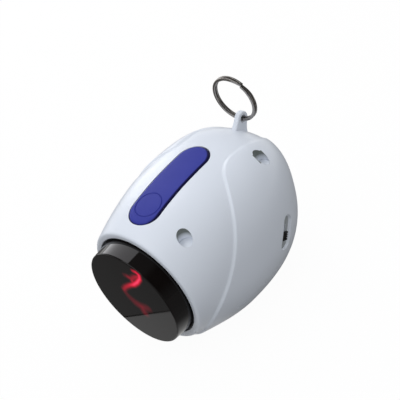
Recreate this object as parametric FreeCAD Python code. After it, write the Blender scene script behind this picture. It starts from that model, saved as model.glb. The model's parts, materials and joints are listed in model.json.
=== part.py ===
import FreeCAD, Part
import math
import os

from FreeCAD import Matrix, Placement, Rotation, Vector

# Cat laser pointer: an egg-shaped case with a dark window at the front, a long push button on
# top, a split ring on a lug at the rear and a spinning mirror inside that moves the light spot.
# All sizes are millimetres. +X is the side with the slide switch, -Y is the way the window looks,
# +Z is the button side. The case lies on its flat base, which is the plane Z = 0.

# Case: half sizes of the plain egg, measured from the axis of the window
BODY_LENGTH = 91.0
AXIS_HEIGHT = 34.5
FRONT_RADIUS = 29.5
SIDE_HALF = 33.7
SIDE_PEAK_AT = 35.8
SIDE_FALL = 1.88
TOP_HALF = 36.9
TOP_PEAK_AT = 53.8
TOP_FALL = 2.51
BACK_HALF = 37.4
BACK_PEAK_AT = 48.0
BACK_FALL = 2.33
TAIL_BLUNT = 2.29
TAIL_ROUND = 2.21
SECTION_SQUARE = 2.54
SQUARE_FROM = 30.0
SECTION_POINTS = 20
STATIONS = (0.0, 0.07, 0.17, 0.3, 0.44, 0.58, 0.7, 0.81, 0.9, 0.96, 0.99, 0.9995)
INNER_BANDS = 20
INNER_CROWDING = 1.6

WALL = 2.2
FRONT_WALL = 2.6
LIP_ROUND = 1.5
PANEL_RISE = 0.9
PANEL_START = 4.5
ROOT_DEPTH = 1.0
SEAM_HEIGHT = 15.4
SEAM_GAP = 0.1
LAP_HEIGHT = 1.5
LAP_CLEARANCE = 0.15

# The edge of the raised side panel, seen square to the top right corner of the case: each pair is
# a place across that view and a distance behind the front edge.
PANEL_EDGE = (
    (-8.2, 97.0), (-12.1, 74.0), (-14.4, 62.0), (-14.3, 51.5), (-11.2, 46.0),
    (-4.6, 40.6), (8.0, 32.0), (18.2, 23.8), (26.3, 13.3), (30.6, 5.4), (36.0, -6.0),
)

# Window
OPENING_RADIUS = 26.6
CAP_REACH = 8.4
CAP_FACE_RADIUS = 25.0
CAP_ROOT_RADIUS = 26.0
CAP_WALL = 2.0
CAP_EDGE = 0.7
FLANGE_RADIUS = 27.7
FLANGE_THICKNESS = 1.8
FLANGE_CLEARANCE = 0.1
RIB_THICKNESS = 1.5
RIB_RADIUS = 26.9

# Button
BUTTON_HALF_WIDTH = 8.1
BUTTON_START = 6.5
BUTTON_END = 54.8
BUTTON_GAP = 0.25
BUTTON_PROUD = 0.4
BUTTON_SKIN = 1.8
BUTTON_FLANGE = 1.2
BUTTON_FLANGE_THICKNESS = 1.2
BUTTON_LIFT_GAP = 0.3
BUTTON_RING_RADIUS = 6.4
BUTTON_RING_WIDTH = 0.5
BUTTON_RING_DEPTH = 0.35
PRESS_AT = 16.5
PIVOT_AT = 51.0
PIVOT_DROP = 3.0
PIVOT_RADIUS = 1.0
PIVOT_CLEARANCE = 0.05
PIVOT_EAR_INNER = 9.7
PIVOT_EAR_THICKNESS = 1.8
PIVOT_EAR_WALL = 1.3
PIVOT_ARM_THICKNESS = 2.2
PIVOT_SIDE_GAP = 0.25
POST_RADIUS = 1.8
POST_GAP = 0.1

# Circuit board and its press switch
BOARD_TOP = 57.5
BOARD_THICKNESS = 1.2
BOARD_START = 8.0
BOARD_END = 45.0
BOARD_HALF_WIDTH = 15.0
BOARD_POST_X = 12.6
BOARD_POST_AT = (11.5, 41.5)
BOARD_POST_RADIUS = 2.1
PRESS_SWITCH_SIDE = 6.0
PRESS_SWITCH_HEIGHT = 3.4
PLUNGER_RADIUS = 1.6
PLUNGER_HEIGHT = 1.3
PLUNGER_DEPTH = 1.4
PLUNGER_ROOM = 0.75
CHIP_SIZE = (5.0, 6.0, 1.6)
CHIP_AT = 30.0
CHIP_LEGS = 4
CHIP_LEG_PITCH = 1.27
CHIP_LEG_REACH = 1.0
CHIP_LEG_HALF = 0.2

# Case screws and their plugs: x, distance behind the front edge, height of the sunk plug's top.
# The plugs on the right are sunk in their wells; those on the left are flush with the case.
SCREW_PLACES = ((21.1, 13.1, 57.8), (21.6, 66.2, 59.8))
SCREW_BORE = 3.1
SCREW_TUBE_WALL = 1.5
SCREW_SHELF = 38.4
SCREW_SHELF_THICKNESS = 2.4
SCREW_POST_RADIUS = 2.7
SCREW_SHAFT = 1.3
SCREW_SHAFT_LENGTH = 12.0
SCREW_HEAD = 2.5
SCREW_HEAD_HEIGHT = 1.8
PLUG_LENGTH = 4.0
FIT = 0.05

# Small screws for the boards, the frame and the switch
SMALL_SHAFT = 0.85
SMALL_HEAD = 1.6
SMALL_HEAD_HEIGHT = 0.9
SMALL_LENGTH = 5.0

# Lug and split ring
LUG_AT = 81.15
LUG_HEIGHT = 34.5
LUG_RADIUS = 3.4
LUG_THICKNESS = 2.8
LUG_LEAN = 33.0
LUG_HOLE = 1.8
LUG_FOOT_HALF = 6.2
LUG_FOOT_DROP = 9.0
RING_OUTER = 11.85
RING_WIRE_WIDTH = 1.5
RING_WIRE_THICKNESS = 0.9
RING_COIL_GAP = 0.43
RING_TURNS = 2.0
RING_LEAN = 93.0
RING_START = 38.0

# Slide switch in its slanted recess
SLOT_AT = 59.0
SLOT_DROP = 6.0
SLOT_TILT = 35.0
SLOT_LENGTH = 15.5
SLOT_WIDTH = 6.2
SLOT_DEPTH = 1.5
KNOB_LENGTH = 3.3
KNOB_WIDTH = 2.6
KNOB_TRAVEL = 3.4
KNOB_GAP = 0.2
KNOB_SINK = 0.2
KNOB_CAP_LENGTH = 3.9
KNOB_CAP_WIDTH = 4.6
KNOB_GROOVES = 3
KNOB_GROOVE_WIDTH = 0.4
KNOB_GROOVE_PITCH = 1.0
SWITCH_LENGTH = 8.6
SWITCH_WIDTH = 3.7
SWITCH_HEIGHT = 1.8
SWITCH_SEAT = 3.25
SWITCH_BOARD_LENGTH = 15.4
SWITCH_BOARD_WIDTH = 4.6
SWITCH_BOARD_THICKNESS = 0.8
SWITCH_POST_SPACING = 6.0
SWITCH_POST_RADIUS = 1.5
SWITCH_PILOT_END = 2.4
SWITCH_GAP = 0.1

# Battery bay
CELL_RADIUS = 5.25
CELL_LENGTH = 43.6
CELL_BUTTON_RADIUS = 1.9
CELL_BUTTON_LENGTH = 0.9
CELL_COUNT = 3
CELL_SPACING = 10.605
BAY_HALF_WIDTH = 16.3
BAY_START = 15.7
BAY_LENGTH = 51.6
BAY_CEILING = 13.8
BAY_WALL = 1.4
COVER_RECESS = 0.3
COVER_THICKNESS = 2.3
COVER_GAP = 0.2
COVER_SKIN = 1.6
COVER_SKIN_TOP = 4.8
COVER_TONGUE_LENGTH = 1.8
COVER_TONGUE_HALF = 7.5
COVER_TONGUE_THICKNESS = 1.1
TAB_HALF_WIDTH = 5.0
TAB_LENGTH = 6.4
GRIP_LINES = 3
GRIP_HALF_LENGTH = 6.0
GRIP_WIDTH = 0.8
GRIP_PITCH = 2.4
GRIP_START = 4.0
GRIP_DEPTH = 0.6
COVER_SCREW_INSET = 3.0
COVER_SCREW_SHAFT = 1.15
COVER_SCREW_HEAD = 2.1
COVER_SCREW_HEAD_HEIGHT = 1.2
COVER_SCREW_LENGTH = 8.0
CROSS_LENGTH = 2.6
CROSS_WIDTH = 0.6
CROSS_DEPTH = 0.7
COVER_BOSS_RADIUS = 3.2
CELL_REST = 0.3
CONTACT_THICKNESS = 0.4
CONTACT_SIDE = 8.0
CONTACT_CONE_FOOT = 1.4
CONTACT_CONE_TIP = 0.8
SPRING_WIRE = 0.6
SPRING_BIG = 3.3
SPRING_SMALL = 2.2
SPRING_TURNS = 3.0
SPRING_SIDES = 6
SPRING_LENGTH = 4.9

# Mirror drive: it stands at a slope, with its own axes from the middle of the mirror
MIRROR_AT = 21.75
DRIVE_SLOPE = 45.0
MIRROR_RADIUS = 9.0
MIRROR_THICKNESS = 1.2
MIRROR_TILT = 4.0
GEAR_MODULE = 0.6
PRESSURE_ANGLE = 20.0
TOOTH_ADDENDUM = 0.8
TOOTH_DEDENDUM = 1.25
TOOTH_BACKLASH = 0.06
WHEEL_TEETH = 36
IDLER_TEETH = 30
PINION_TEETH = 12
CENTRE_SLACK = 0.05
IDLER_TURN = 37.0
WHEEL_BOTTOM = 2.0
WHEEL_THICKNESS = 3.0
WHEEL_HUB_RADIUS = 5.5
LAYER_GAP = 0.8
IDLER_THICKNESS = 2.5
PLATE_BOTTOM = 9.0
PLATE_THICKNESS = 2.0
END_PLAY = 0.2
AXLE_RADIUS = 1.0
AXLE_CLEARANCE = 0.05
BUSH_RADIUS = 2.6
BUSH_LENGTH = 2.0
CLIP_RADIUS = 2.2
CLIP_THICKNESS = 0.5
CLIP_MOUTH_SHARE = 0.7
PIN_HEAD_SHARE = 1.8
PLATE_HALF_WIDTH = 16.0
PLATE_ABOVE = 7.0
BASE_THICKNESS = 2.0
BASE_HALF_WIDTH = 15.0
BASE_START = 12.0
FOOT_X = 20.8
FOOT_AT = (29.5, 51.5)
FOOT_RADIUS = 2.6
GUSSET_THICKNESS = 2.0
GUSSET_LENGTH = 14.0
MOTOR_RADIUS = 6.0
MOTOR_FLAT = 5.0
MOTOR_LENGTH = 15.0
MOTOR_NOSE_RADIUS = 2.0
MOTOR_SHAFT = 0.5
MOTOR_BORE_STOP = 2.0
CRADLE_WALL = 1.6
CRADLE_LENGTH = 8.0
CRADLE_CLEARANCE = 0.1
LASER_RADIUS = 3.0
LASER_LENGTH = 10.5
LASER_LENS_RADIUS = 1.6
LASER_LENS_THICKNESS = 1.0
HOLDER_WALL = 1.8
HOLDER_HEIGHT = 9.0
HOLDER_SLIT = 1.2

# The whole length, window to tail, is centred on the origin
FRONT_Y = (CAP_REACH - BODY_LENGTH - PANEL_RISE) / 2
FAR = 80.0


def at(distance):
    """Y of a distance behind the front edge of the case."""
    return FRONT_Y + distance


def swell(distance, peak, front, peak_at, fall, tail):
    """Half size of the egg at a distance: it swells to its peak and rounds off to the tail."""
    if distance < peak_at:
        return peak - (peak - front) * ((peak_at - distance) / peak_at) ** fall
    share = min((distance - peak_at) / (tail - peak_at), 1.0)
    return peak * (1 - share ** TAIL_BLUNT) ** (1 / TAIL_ROUND)


def half_sizes(distance, grow):
    """Side, top and back half sizes of the egg, grown all over by an amount."""
    front = FRONT_RADIUS + grow
    tail = BODY_LENGTH + grow
    side = swell(distance, SIDE_HALF + grow, front, SIDE_PEAK_AT, SIDE_FALL, tail)
    top = swell(distance, TOP_HALF + grow, front, TOP_PEAK_AT, TOP_FALL, tail)
    back = swell(distance, BACK_HALF + grow, front, BACK_PEAK_AT, BACK_FALL, tail)
    return side, top, back


def squareness(distance):
    """Power of the rounded section: a circle at the front, squarer further back."""
    return 2 + (SECTION_SQUARE - 2) * min(max(distance / SQUARE_FROM, 0.0), 1.0)


def section(distance, grow):
    """One closed section of the egg."""
    side, top, back = half_sizes(distance, grow)
    power = squareness(distance)
    points = []
    for i in range(SECTION_POINTS):
        turn = 2 * math.pi * i / SECTION_POINTS - math.pi / 2
        across, up = math.cos(turn), math.sin(turn)
        height = top if up >= 0 else back
        reach = (abs(across / side) ** power + abs(up / height) ** power) ** (-1 / power)
        points.append(Vector(reach * across, at(distance), AXIS_HEIGHT + reach * up))
    curve = Part.BSplineCurve()
    steps = [i / SECTION_POINTS for i in range(SECTION_POINTS + 1)]
    curve.interpolate(Points=points, PeriodicFlag=True, Parameters=steps)
    return Part.Wire([curve.toShape()])


def egg(grow, start=0.0):
    """The egg as a solid, grown all over, from a distance behind the front edge to the tail."""
    length = BODY_LENGTH + grow - start
    return Part.makeLoft([section(start + length * share, grow) for share in STATIONS], True)


def inner_egg(grow, start=0.0):
    """The egg for unseen inner walls, in straight bands that are narrower towards the tail."""
    length = (BODY_LENGTH + grow - start) * STATIONS[-1]
    sections = []
    for i in range(INNER_BANDS + 1):
        share = 1 - (1 - i / INNER_BANDS) ** INNER_CROWDING
        sections.append(section(start + length * share, grow))
    return Part.makeLoft(sections, True, True)


def surface_x(distance, height, grow):
    """X of the right side of the egg at a distance and a height."""
    side, top, back = half_sizes(distance, grow)
    power = squareness(distance)
    up = height - AXIS_HEIGHT
    limit = top if up >= 0 else back
    return side * (1 - abs(up / limit) ** power) ** (1 / power)


def block(low, high):
    """A box between two corners."""
    size = [b - a for a, b in zip(low, high)]
    return Part.makeBox(size[0], size[1], size[2], Vector(*low))


def rod(radius, x, y, low, high):
    """An upright round rod."""
    return Part.makeCylinder(radius, high - low, Vector(x, y, low))


def stadium(half_width, start, end, low, high):
    """An upright prism with round ends along Y."""
    front, rear = start + half_width, end - half_width
    middle = block((-half_width, front, low), (half_width, rear, high))
    return middle.fuse([rod(half_width, 0, front, low, high), rod(half_width, 0, rear, low, high)])


def joined(shapes):
    """One solid from overlapping ones, without leftover seams."""
    first = shapes[0]
    if len(shapes) > 1:
        first = first.fuse(shapes[1:])
    return first.removeSplitter()


def both_sides(shape):
    """A shape and its mirror image across the middle."""
    return [shape, shape.mirror(Vector(0, 0, 0), Vector(1, 0, 0))]


def panel_region():
    """The space behind and below the edge of the right side panel."""
    slant = 1 / math.sqrt(2)
    edge = []
    for across, distance in PANEL_EDGE:
        edge.append(Vector(across * slant, at(distance), AXIS_HEIGHT - across * slant))
    out = Vector(slant, 0, slant)
    start = [point - out * FAR for point in edge]
    curve = Part.BSplineCurve()
    curve.interpolate(start)
    corner_low = start[-1] + Vector(slant, 0, -slant) * FAR
    corner_high = Vector(corner_low.x, start[0].y, corner_low.z)
    border = Part.makePolygon([start[-1], corner_low, corner_high, start[0]])
    face = Part.Face(Part.Wire([curve.toShape()] + border.Edges))
    return face.extrude(out * 2 * FAR)


def screw(shaft, length, head, head_height, x, y, seat, up=True):
    """A screw whose head's underside is at a height; the head is above it or below."""
    side = 1 if up else -1
    head_low = min(seat, seat + side * head_height)
    shaft_low = min(seat, seat - side * length)
    return joined([rod(head, x, y, head_low, head_low + head_height),
                   rod(shaft, x, y, shaft_low, shaft_low + length)])


def screw_spots():
    """The four case screws: x, y and plug height."""
    spots = []
    for x, distance, plug_top in SCREW_PLACES:
        for side in (1, -1):
            spots.append((side * x, at(distance), plug_top))
    return spots


def board_spots():
    """The four screws of the circuit board."""
    return [(side * BOARD_POST_X, at(d)) for d in BOARD_POST_AT for side in (1, -1)]


def foot_spots():
    """The four screws that hold the drive frame."""
    return [(side * FOOT_X, at(d)) for d in FOOT_AT for side in (1, -1)]


def window_rib(height_range):
    """The ring that holds the window's flange from behind."""
    near = at(FRONT_WALL + 2 * FLANGE_CLEARANCE + FLANGE_THICKNESS)
    middle = Vector(0, near, AXIS_HEIGHT)
    ring = Part.makeCylinder(FRONT_RADIUS + WALL, RIB_THICKNESS, middle, Vector(0, 1, 0))
    ring = ring.cut(Part.makeCylinder(RIB_RADIUS, RIB_THICKNESS, middle, Vector(0, 1, 0)))
    half = BUTTON_HALF_WIDTH + BUTTON_FLANGE + BUTTON_LIFT_GAP
    ring = ring.cut(block((-half, -FAR, AXIS_HEIGHT), (half, FAR, 2 * FAR)))
    low, high = height_range
    return ring.common(block((-FAR, -FAR, low), (FAR, FAR, high)))


def opening():
    """The round hole for the window."""
    middle = Vector(0, at(-LIP_ROUND), AXIS_HEIGHT)
    return Part.makeCylinder(OPENING_RADIUS, LIP_ROUND + FRONT_WALL + 1, middle, Vector(0, 1, 0))


def plain_body():
    """The plain egg with its rounded front lip."""
    body = egg(0)
    rim = [e for e in body.Edges if e.BoundBox.YMax < at(0) + 0.01]
    return body.makeFillet(LIP_ROUND, rim)


def slot_frame():
    """Placement at the switch: its X runs out of the case, its Z up along the slot."""
    height = AXIS_HEIGHT - SLOT_DROP
    step = 0.1
    x = surface_x(SLOT_AT, height, PANEL_RISE)
    along = (surface_x(SLOT_AT + step, height, PANEL_RISE) - x) / step
    upward = (surface_x(SLOT_AT, height + step, PANEL_RISE) - x) / step
    out = Vector(1, -along, -upward).normalize()
    tilt = math.radians(SLOT_TILT)
    slot = Vector(0, math.sin(tilt), math.cos(tilt))
    slot = (slot - out * slot.dot(out)).normalize()
    side = slot.cross(out)
    matrix = Matrix(out.x, side.x, slot.x, x, out.y, side.y, slot.y, at(SLOT_AT),
                    out.z, side.z, slot.z, height, 0, 0, 0, 1)
    return Placement(matrix)


def in_slot(shape):
    """Move a shape from the slot's own axes to the case."""
    shape.Placement = slot_frame().multiply(shape.Placement)
    return shape


def slot_prism(length, width, inner, outer):
    """A prism with round ends along the slot, from one depth to another."""
    half = width / 2
    reach = length / 2 - half
    depth = outer - inner
    ends = [Part.makeCylinder(half, depth, Vector(inner, 0, side * reach), Vector(1, 0, 0))
            for side in (1, -1)]
    middle = block((inner, -half, -reach), (outer, half, reach))
    return in_slot(middle.fuse(ends))


def switch_posts(radius, inner, outer):
    """Two round posts or holes beside the slide switch."""
    return [in_slot(Part.makeCylinder(radius, outer - inner,
                                      Vector(inner, 0, side * SWITCH_POST_SPACING), Vector(1, 0, 0)))
            for side in (1, -1)]


def lug():
    """The eye at the rear that holds the split ring, with its foot spread on the case."""
    y, z = at(LUG_AT), AXIS_HEIGHT + LUG_HEIGHT
    start = Vector(-LUG_THICKNESS / 2, y, z)
    made = Part.makeCylinder(LUG_RADIUS, LUG_THICKNESS, start, Vector(1, 0, 0))
    foot = []
    for across, drop in ((-LUG_RADIUS, 0.0), (-LUG_FOOT_HALF, LUG_FOOT_DROP),
                         (LUG_FOOT_HALF, LUG_FOOT_DROP), (LUG_RADIUS, 0.0), (-LUG_RADIUS, 0.0)):
        foot.append(Vector(-LUG_THICKNESS / 2, y + across, z - drop))
    foot = Part.Face(Part.makePolygon(foot)).extrude(Vector(LUG_THICKNESS, 0, 0))
    made = made.fuse(foot).removeSplitter()
    made.rotate(start, Vector(1, 0, 0), -LUG_LEAN)
    return made


def lug_hole():
    """The hole through the lug."""
    start = Vector(-LUG_THICKNESS, at(LUG_AT), AXIS_HEIGHT + LUG_HEIGHT)
    return Part.makeCylinder(LUG_HOLE, 2 * LUG_THICKNESS, start, Vector(1, 0, 0))


def pivot_place():
    """Y and Z of the button's pivot."""
    top = half_sizes(PIVOT_AT, 0)[1]
    return at(PIVOT_AT), AXIS_HEIGHT + top - WALL - PIVOT_DROP


def pivot_ears():
    """Two ears under the top that carry the button's pivot pins."""
    y, z = pivot_place()
    half = PIVOT_RADIUS + PIVOT_EAR_WALL
    outer = PIVOT_EAR_INNER + PIVOT_EAR_THICKNESS
    ear = block((PIVOT_EAR_INNER, y - half, z - half), (outer, y + half, AXIS_HEIGHT + TOP_HALF))
    return both_sides(ear)


def pivot_rods(radius, inner, outer):
    """Two short rods along X at the button's pivot, between two distances from the middle."""
    y, z = pivot_place()
    return both_sides(Part.makeCylinder(radius, outer - inner, Vector(inner, y, z), Vector(1, 0, 0)))


def pivot_arms():
    """Two arms under the button that carry its pins."""
    y, z = pivot_place()
    half = PIVOT_RADIUS + PIVOT_EAR_WALL
    outer = PIVOT_EAR_INNER - PIVOT_SIDE_GAP
    arm = block((outer - PIVOT_ARM_THICKNESS, y - half, z - half), (outer, y + half, z + PIVOT_DROP))
    return both_sides(arm)


def top_shell(body, raised, cavity, root):
    """Button side of the case: bands, panels, bosses, lug, switch recess and button opening."""
    above = block((-FAR, -FAR, SEAM_HEIGHT + SEAM_GAP), (FAR, FAR, 3 * FAR))
    outside = body
    for region in both_sides(panel_region()):
        outside = outside.fuse(raised.common(region))
    shell = outside.cut(cavity.fuse(opening())).common(above)
    lap = inner_egg(-WALL / 2, FRONT_WALL / 2)
    lap_top = SEAM_HEIGHT + LAP_HEIGHT + LAP_CLEARANCE
    shell = shell.cut(lap.common(block((-FAR, -FAR, 0), (FAR, FAR, lap_top))))
    inner = []
    for x, y, plug_top in screw_spots():
        low = SCREW_SHELF - SCREW_SHELF_THICKNESS
        inner.append(rod(SCREW_BORE + SCREW_TUBE_WALL, x, y, low, FAR))
    for x, y in board_spots():
        inner.append(rod(BOARD_POST_RADIUS, x, y, BOARD_TOP, FAR))
    inner += pivot_ears()
    inner += switch_posts(SWITCH_POST_RADIUS, -SWITCH_SEAT - SWITCH_HEIGHT, 0)
    inner.append(window_rib((lap_top, 2 * FAR)))
    inner = [piece.common(root) for piece in inner]
    shell = shell.fuse(inner + [lug().cut(root)])
    ear_outer = PIVOT_EAR_INNER + PIVOT_EAR_THICKNESS
    holes = [lug_hole()] + pivot_rods(PIVOT_RADIUS + PIVOT_CLEARANCE, PIVOT_EAR_INNER, ear_outer)
    for x, y, plug_top in screw_spots():
        holes.append(rod(SCREW_BORE, x, y, SCREW_SHELF, FAR))
        holes.append(rod(SCREW_SHAFT + 2 * FIT, x, y, 0, SCREW_SHELF))
    for x, y in board_spots():
        holes.append(rod(SMALL_SHAFT, x, y, 0, BOARD_TOP + SMALL_LENGTH - BOARD_THICKNESS))
    grown = BUTTON_HALF_WIDTH + BUTTON_GAP
    start, end = at(BUTTON_START - BUTTON_GAP), at(BUTTON_END + BUTTON_GAP)
    holes.append(stadium(grown, start, end, AXIS_HEIGHT + FRONT_RADIUS - 2 * WALL, 2 * FAR))
    holes.append(slot_prism(SLOT_LENGTH, SLOT_WIDTH, -SLOT_DEPTH, SLOT_DEPTH + PANEL_RISE))
    slit = KNOB_LENGTH + KNOB_TRAVEL + 2 * KNOB_GAP
    half = KNOB_WIDTH / 2 + KNOB_GAP
    holes.append(in_slot(block((-2 * SWITCH_SEAT, -half, -slit / 2), (0, half, slit / 2))))
    holes += switch_posts(SMALL_SHAFT, -SWITCH_SEAT - SWITCH_HEIGHT, -SWITCH_PILOT_END)
    across, along = SWITCH_WIDTH / 2 + SWITCH_GAP, SWITCH_LENGTH / 2 + SWITCH_GAP
    holes.append(in_slot(block((-SWITCH_SEAT - SWITCH_HEIGHT, -across, -along),
                               (-SWITCH_SEAT, across, along))))
    return shell.cut(holes)


def bottom_shell(body, raised, cavity, root):
    """Rest side of the case: tray, battery bay, screw posts and the lap round the seam."""
    below = block((-FAR, -FAR, 0), (FAR, FAR, SEAM_HEIGHT))
    behind = block((-FAR, at(PANEL_START), 0), (FAR, FAR, SEAM_HEIGHT))
    shell = body.fuse(raised.common(behind)).cut(cavity.fuse(opening())).common(below)
    lap = inner_egg(-WALL / 2 - LAP_CLEARANCE, FRONT_WALL / 2 + LAP_CLEARANCE)
    lap = lap.cut(cavity.fuse(opening()))
    shell = shell.fuse(lap.common(block((-FAR, -FAR, SEAM_HEIGHT - WALL),
                                        (FAR, FAR, SEAM_HEIGHT + LAP_HEIGHT))))
    bay_x = BAY_HALF_WIDTH + BAY_WALL
    bay_low, bay_high = at(BAY_START), at(BAY_START + BAY_LENGTH)
    inner = [block((-bay_x, bay_low - BAY_WALL, 0), (bay_x, bay_high + BAY_WALL, SEAM_HEIGHT))]
    for x, y, plug_top in screw_spots():
        inner.append(rod(SCREW_POST_RADIUS, x, y, 0, SCREW_SHELF - SCREW_SHELF_THICKNESS))
    for x, y in foot_spots():
        inner.append(rod(FOOT_RADIUS, x, y, 0, SEAM_HEIGHT))
    screw_y = bay_high + COVER_SCREW_INSET
    inner.append(rod(COVER_BOSS_RADIUS, 0, screw_y, 0, SEAM_HEIGHT))
    inner.append(window_rib((0, SEAM_HEIGHT)))
    shell = shell.fuse([piece.common(root) for piece in inner])
    holes = [block((-BAY_HALF_WIDTH, bay_low, -1), (BAY_HALF_WIDTH, bay_high, BAY_CEILING))]
    tab = TAB_HALF_WIDTH + COVER_GAP
    cover_top = COVER_RECESS + COVER_THICKNESS
    holes.append(block((-tab, bay_high - 1, -1), (tab, bay_high + TAB_LENGTH, cover_top + COVER_GAP)))
    tongue = COVER_TONGUE_HALF + COVER_GAP
    tongue_start = bay_low - COVER_TONGUE_LENGTH - COVER_GAP
    holes.append(block((-tongue, tongue_start, cover_top - COVER_TONGUE_THICKNESS - COVER_GAP),
                       (tongue, bay_low + 1, cover_top + COVER_GAP)))
    depth = COVER_SCREW_HEAD_HEIGHT + COVER_RECESS + COVER_SCREW_LENGTH + FIT
    holes.append(rod(COVER_SCREW_SHAFT + FIT, 0, screw_y, 0, depth))
    for x, y, plug_top in screw_spots():
        high = SCREW_SHELF - SCREW_SHELF_THICKNESS
        holes.append(rod(SCREW_SHAFT, x, y, SCREW_SHELF - SCREW_SHAFT_LENGTH, high))
    for x, y in foot_spots():
        holes.append(rod(SMALL_SHAFT, x, y, SEAM_HEIGHT + BASE_THICKNESS - SMALL_LENGTH, SEAM_HEIGHT))
    return shell.cut(holes)


def window_cap():
    """The dark cup in front: a thin tapered wall, a flat face and a flange behind the lip."""
    inner_face = CAP_FACE_RADIUS - CAP_WALL
    flange_front = FRONT_WALL + FLANGE_CLEARANCE
    flange_rear = flange_front + FLANGE_THICKNESS
    points = [(0, -CAP_REACH), (CAP_FACE_RADIUS - CAP_EDGE, -CAP_REACH),
              (CAP_FACE_RADIUS, CAP_EDGE - CAP_REACH), (CAP_ROOT_RADIUS, flange_front),
              (FLANGE_RADIUS, flange_front), (FLANGE_RADIUS, flange_rear),
              (CAP_ROOT_RADIUS - CAP_WALL, flange_rear), (inner_face, CAP_WALL - CAP_REACH),
              (0, CAP_WALL - CAP_REACH)]
    spots = [Vector(radius, at(distance), AXIS_HEIGHT) for radius, distance in points]
    edges = [Part.LineSegment(a, b).toShape() for a, b in zip(spots, spots[1:] + spots[:1])]
    share = 1 - 1 / math.sqrt(2)
    bulge = Vector(CAP_FACE_RADIUS - CAP_EDGE * share, at(CAP_EDGE * share - CAP_REACH), AXIS_HEIGHT)
    edges[1] = Part.Arc(spots[1], bulge, spots[2]).toShape()
    face = Part.Face(Part.Wire(edges))
    return face.revolve(Vector(0, 0, AXIS_HEIGHT), Vector(0, 1, 0), 360)


def push_button():
    """The long blue button: a hollow curved key with a flange, a ring groove and pivot pins."""
    low, high = AXIS_HEIGHT, 2 * FAR
    start, end = at(BUTTON_START), at(BUTTON_END)
    key = egg(BUTTON_PROUD).common(stadium(BUTTON_HALF_WIDTH, start, end, low, high))
    flange_top = -WALL - BUTTON_LIFT_GAP
    wide = BUTTON_HALF_WIDTH + BUTTON_FLANGE
    wide_prism = stadium(wide, start - BUTTON_FLANGE, end + BUTTON_FLANGE, low, high)
    flange = inner_egg(flange_top).common(wide_prism)
    solid = key.fuse(flange).cut(inner_egg(flange_top - BUTTON_FLANGE_THICKNESS))
    inside = BUTTON_HALF_WIDTH - BUTTON_SKIN
    hollow = stadium(inside, start + BUTTON_SKIN, end - BUTTON_SKIN, low, high)
    solid = solid.cut(inner_egg(BUTTON_PROUD - BUTTON_SKIN).common(hollow))
    groove = rod(BUTTON_RING_RADIUS + BUTTON_RING_WIDTH / 2, 0, at(PRESS_AT), low, high)
    groove = groove.cut(rod(BUTTON_RING_RADIUS - BUTTON_RING_WIDTH / 2, 0, at(PRESS_AT), low, high))
    solid = solid.cut(groove.cut(egg(BUTTON_PROUD - BUTTON_RING_DEPTH)))
    post_low = BOARD_TOP + PRESS_SWITCH_HEIGHT + PLUNGER_HEIGHT + POST_GAP
    post = rod(POST_RADIUS, 0, at(PRESS_AT), post_low, 2 * FAR)
    post = post.common(inner_egg(BUTTON_PROUD - BUTTON_SKIN / 2))
    arms = [arm.common(inner_egg(flange_top)) for arm in pivot_arms()]
    outer = PIVOT_EAR_INNER + PIVOT_EAR_THICKNESS - FIT
    pins = pivot_rods(PIVOT_RADIUS, PIVOT_EAR_INNER - PIVOT_SIDE_GAP - 1, outer)
    return joined([solid, post] + arms + pins)


def circuit_board():
    """The main board, with holes for its screws."""
    low = BOARD_TOP - BOARD_THICKNESS
    half = BOARD_HALF_WIDTH
    board = block((-half, at(BOARD_START), low), (half, at(BOARD_END), BOARD_TOP))
    return board.cut([rod(SMALL_SHAFT + FIT, x, y, low, BOARD_TOP) for x, y in board_spots()])


def board_chip():
    """The timer chip under the board, with its rows of legs."""
    half_x, half_y = CHIP_SIZE[0] / 2, CHIP_SIZE[1] / 2
    low = BOARD_TOP - BOARD_THICKNESS - CHIP_SIZE[2]
    y = at(CHIP_AT)
    chip = block((-half_x, y - half_y, low), (half_x, y + half_y, low + CHIP_SIZE[2]))
    reach, half = CHIP_LEG_REACH, CHIP_LEG_HALF
    legs = []
    for i in range(CHIP_LEGS):
        leg_y = y + (i - (CHIP_LEGS - 1) / 2) * CHIP_LEG_PITCH
        legs.append(block((-half_x - reach, leg_y - half, low + CHIP_SIZE[2] - half),
                          (half_x + reach, leg_y + half, low + CHIP_SIZE[2])))
    return joined([chip] + legs)


def press_switch():
    """The square press switch on the board, open at the top for its plunger."""
    half, y = PRESS_SWITCH_SIDE / 2, at(PRESS_AT)
    top = BOARD_TOP + PRESS_SWITCH_HEIGHT
    body = block((-half, y - half, BOARD_TOP), (half, y + half, top))
    return body.cut(rod(PLUNGER_RADIUS + FIT, 0, y, top - PLUNGER_DEPTH, top))


def press_plunger():
    """The plunger that the button pushes into the press switch."""
    top = BOARD_TOP + PRESS_SWITCH_HEIGHT
    low = top - PLUNGER_DEPTH + PLUNGER_ROOM
    return rod(PLUNGER_RADIUS, 0, at(PRESS_AT), low, top + PLUNGER_HEIGHT)


def slide_switch():
    """The body of the slide switch, with the slit that its knob runs in."""
    outer = -SWITCH_SEAT
    body = block((outer - SWITCH_HEIGHT, -SWITCH_WIDTH / 2, -SWITCH_LENGTH / 2),
                 (outer, SWITCH_WIDTH / 2, SWITCH_LENGTH / 2))
    room = KNOB_LENGTH + KNOB_TRAVEL + 2 * KNOB_GAP
    half = KNOB_WIDTH / 2 + KNOB_GAP / 2
    slit = block((outer - SWITCH_HEIGHT / 2, -half, -room / 2), (outer, half, room / 2))
    return in_slot(body.cut(slit))


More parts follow.
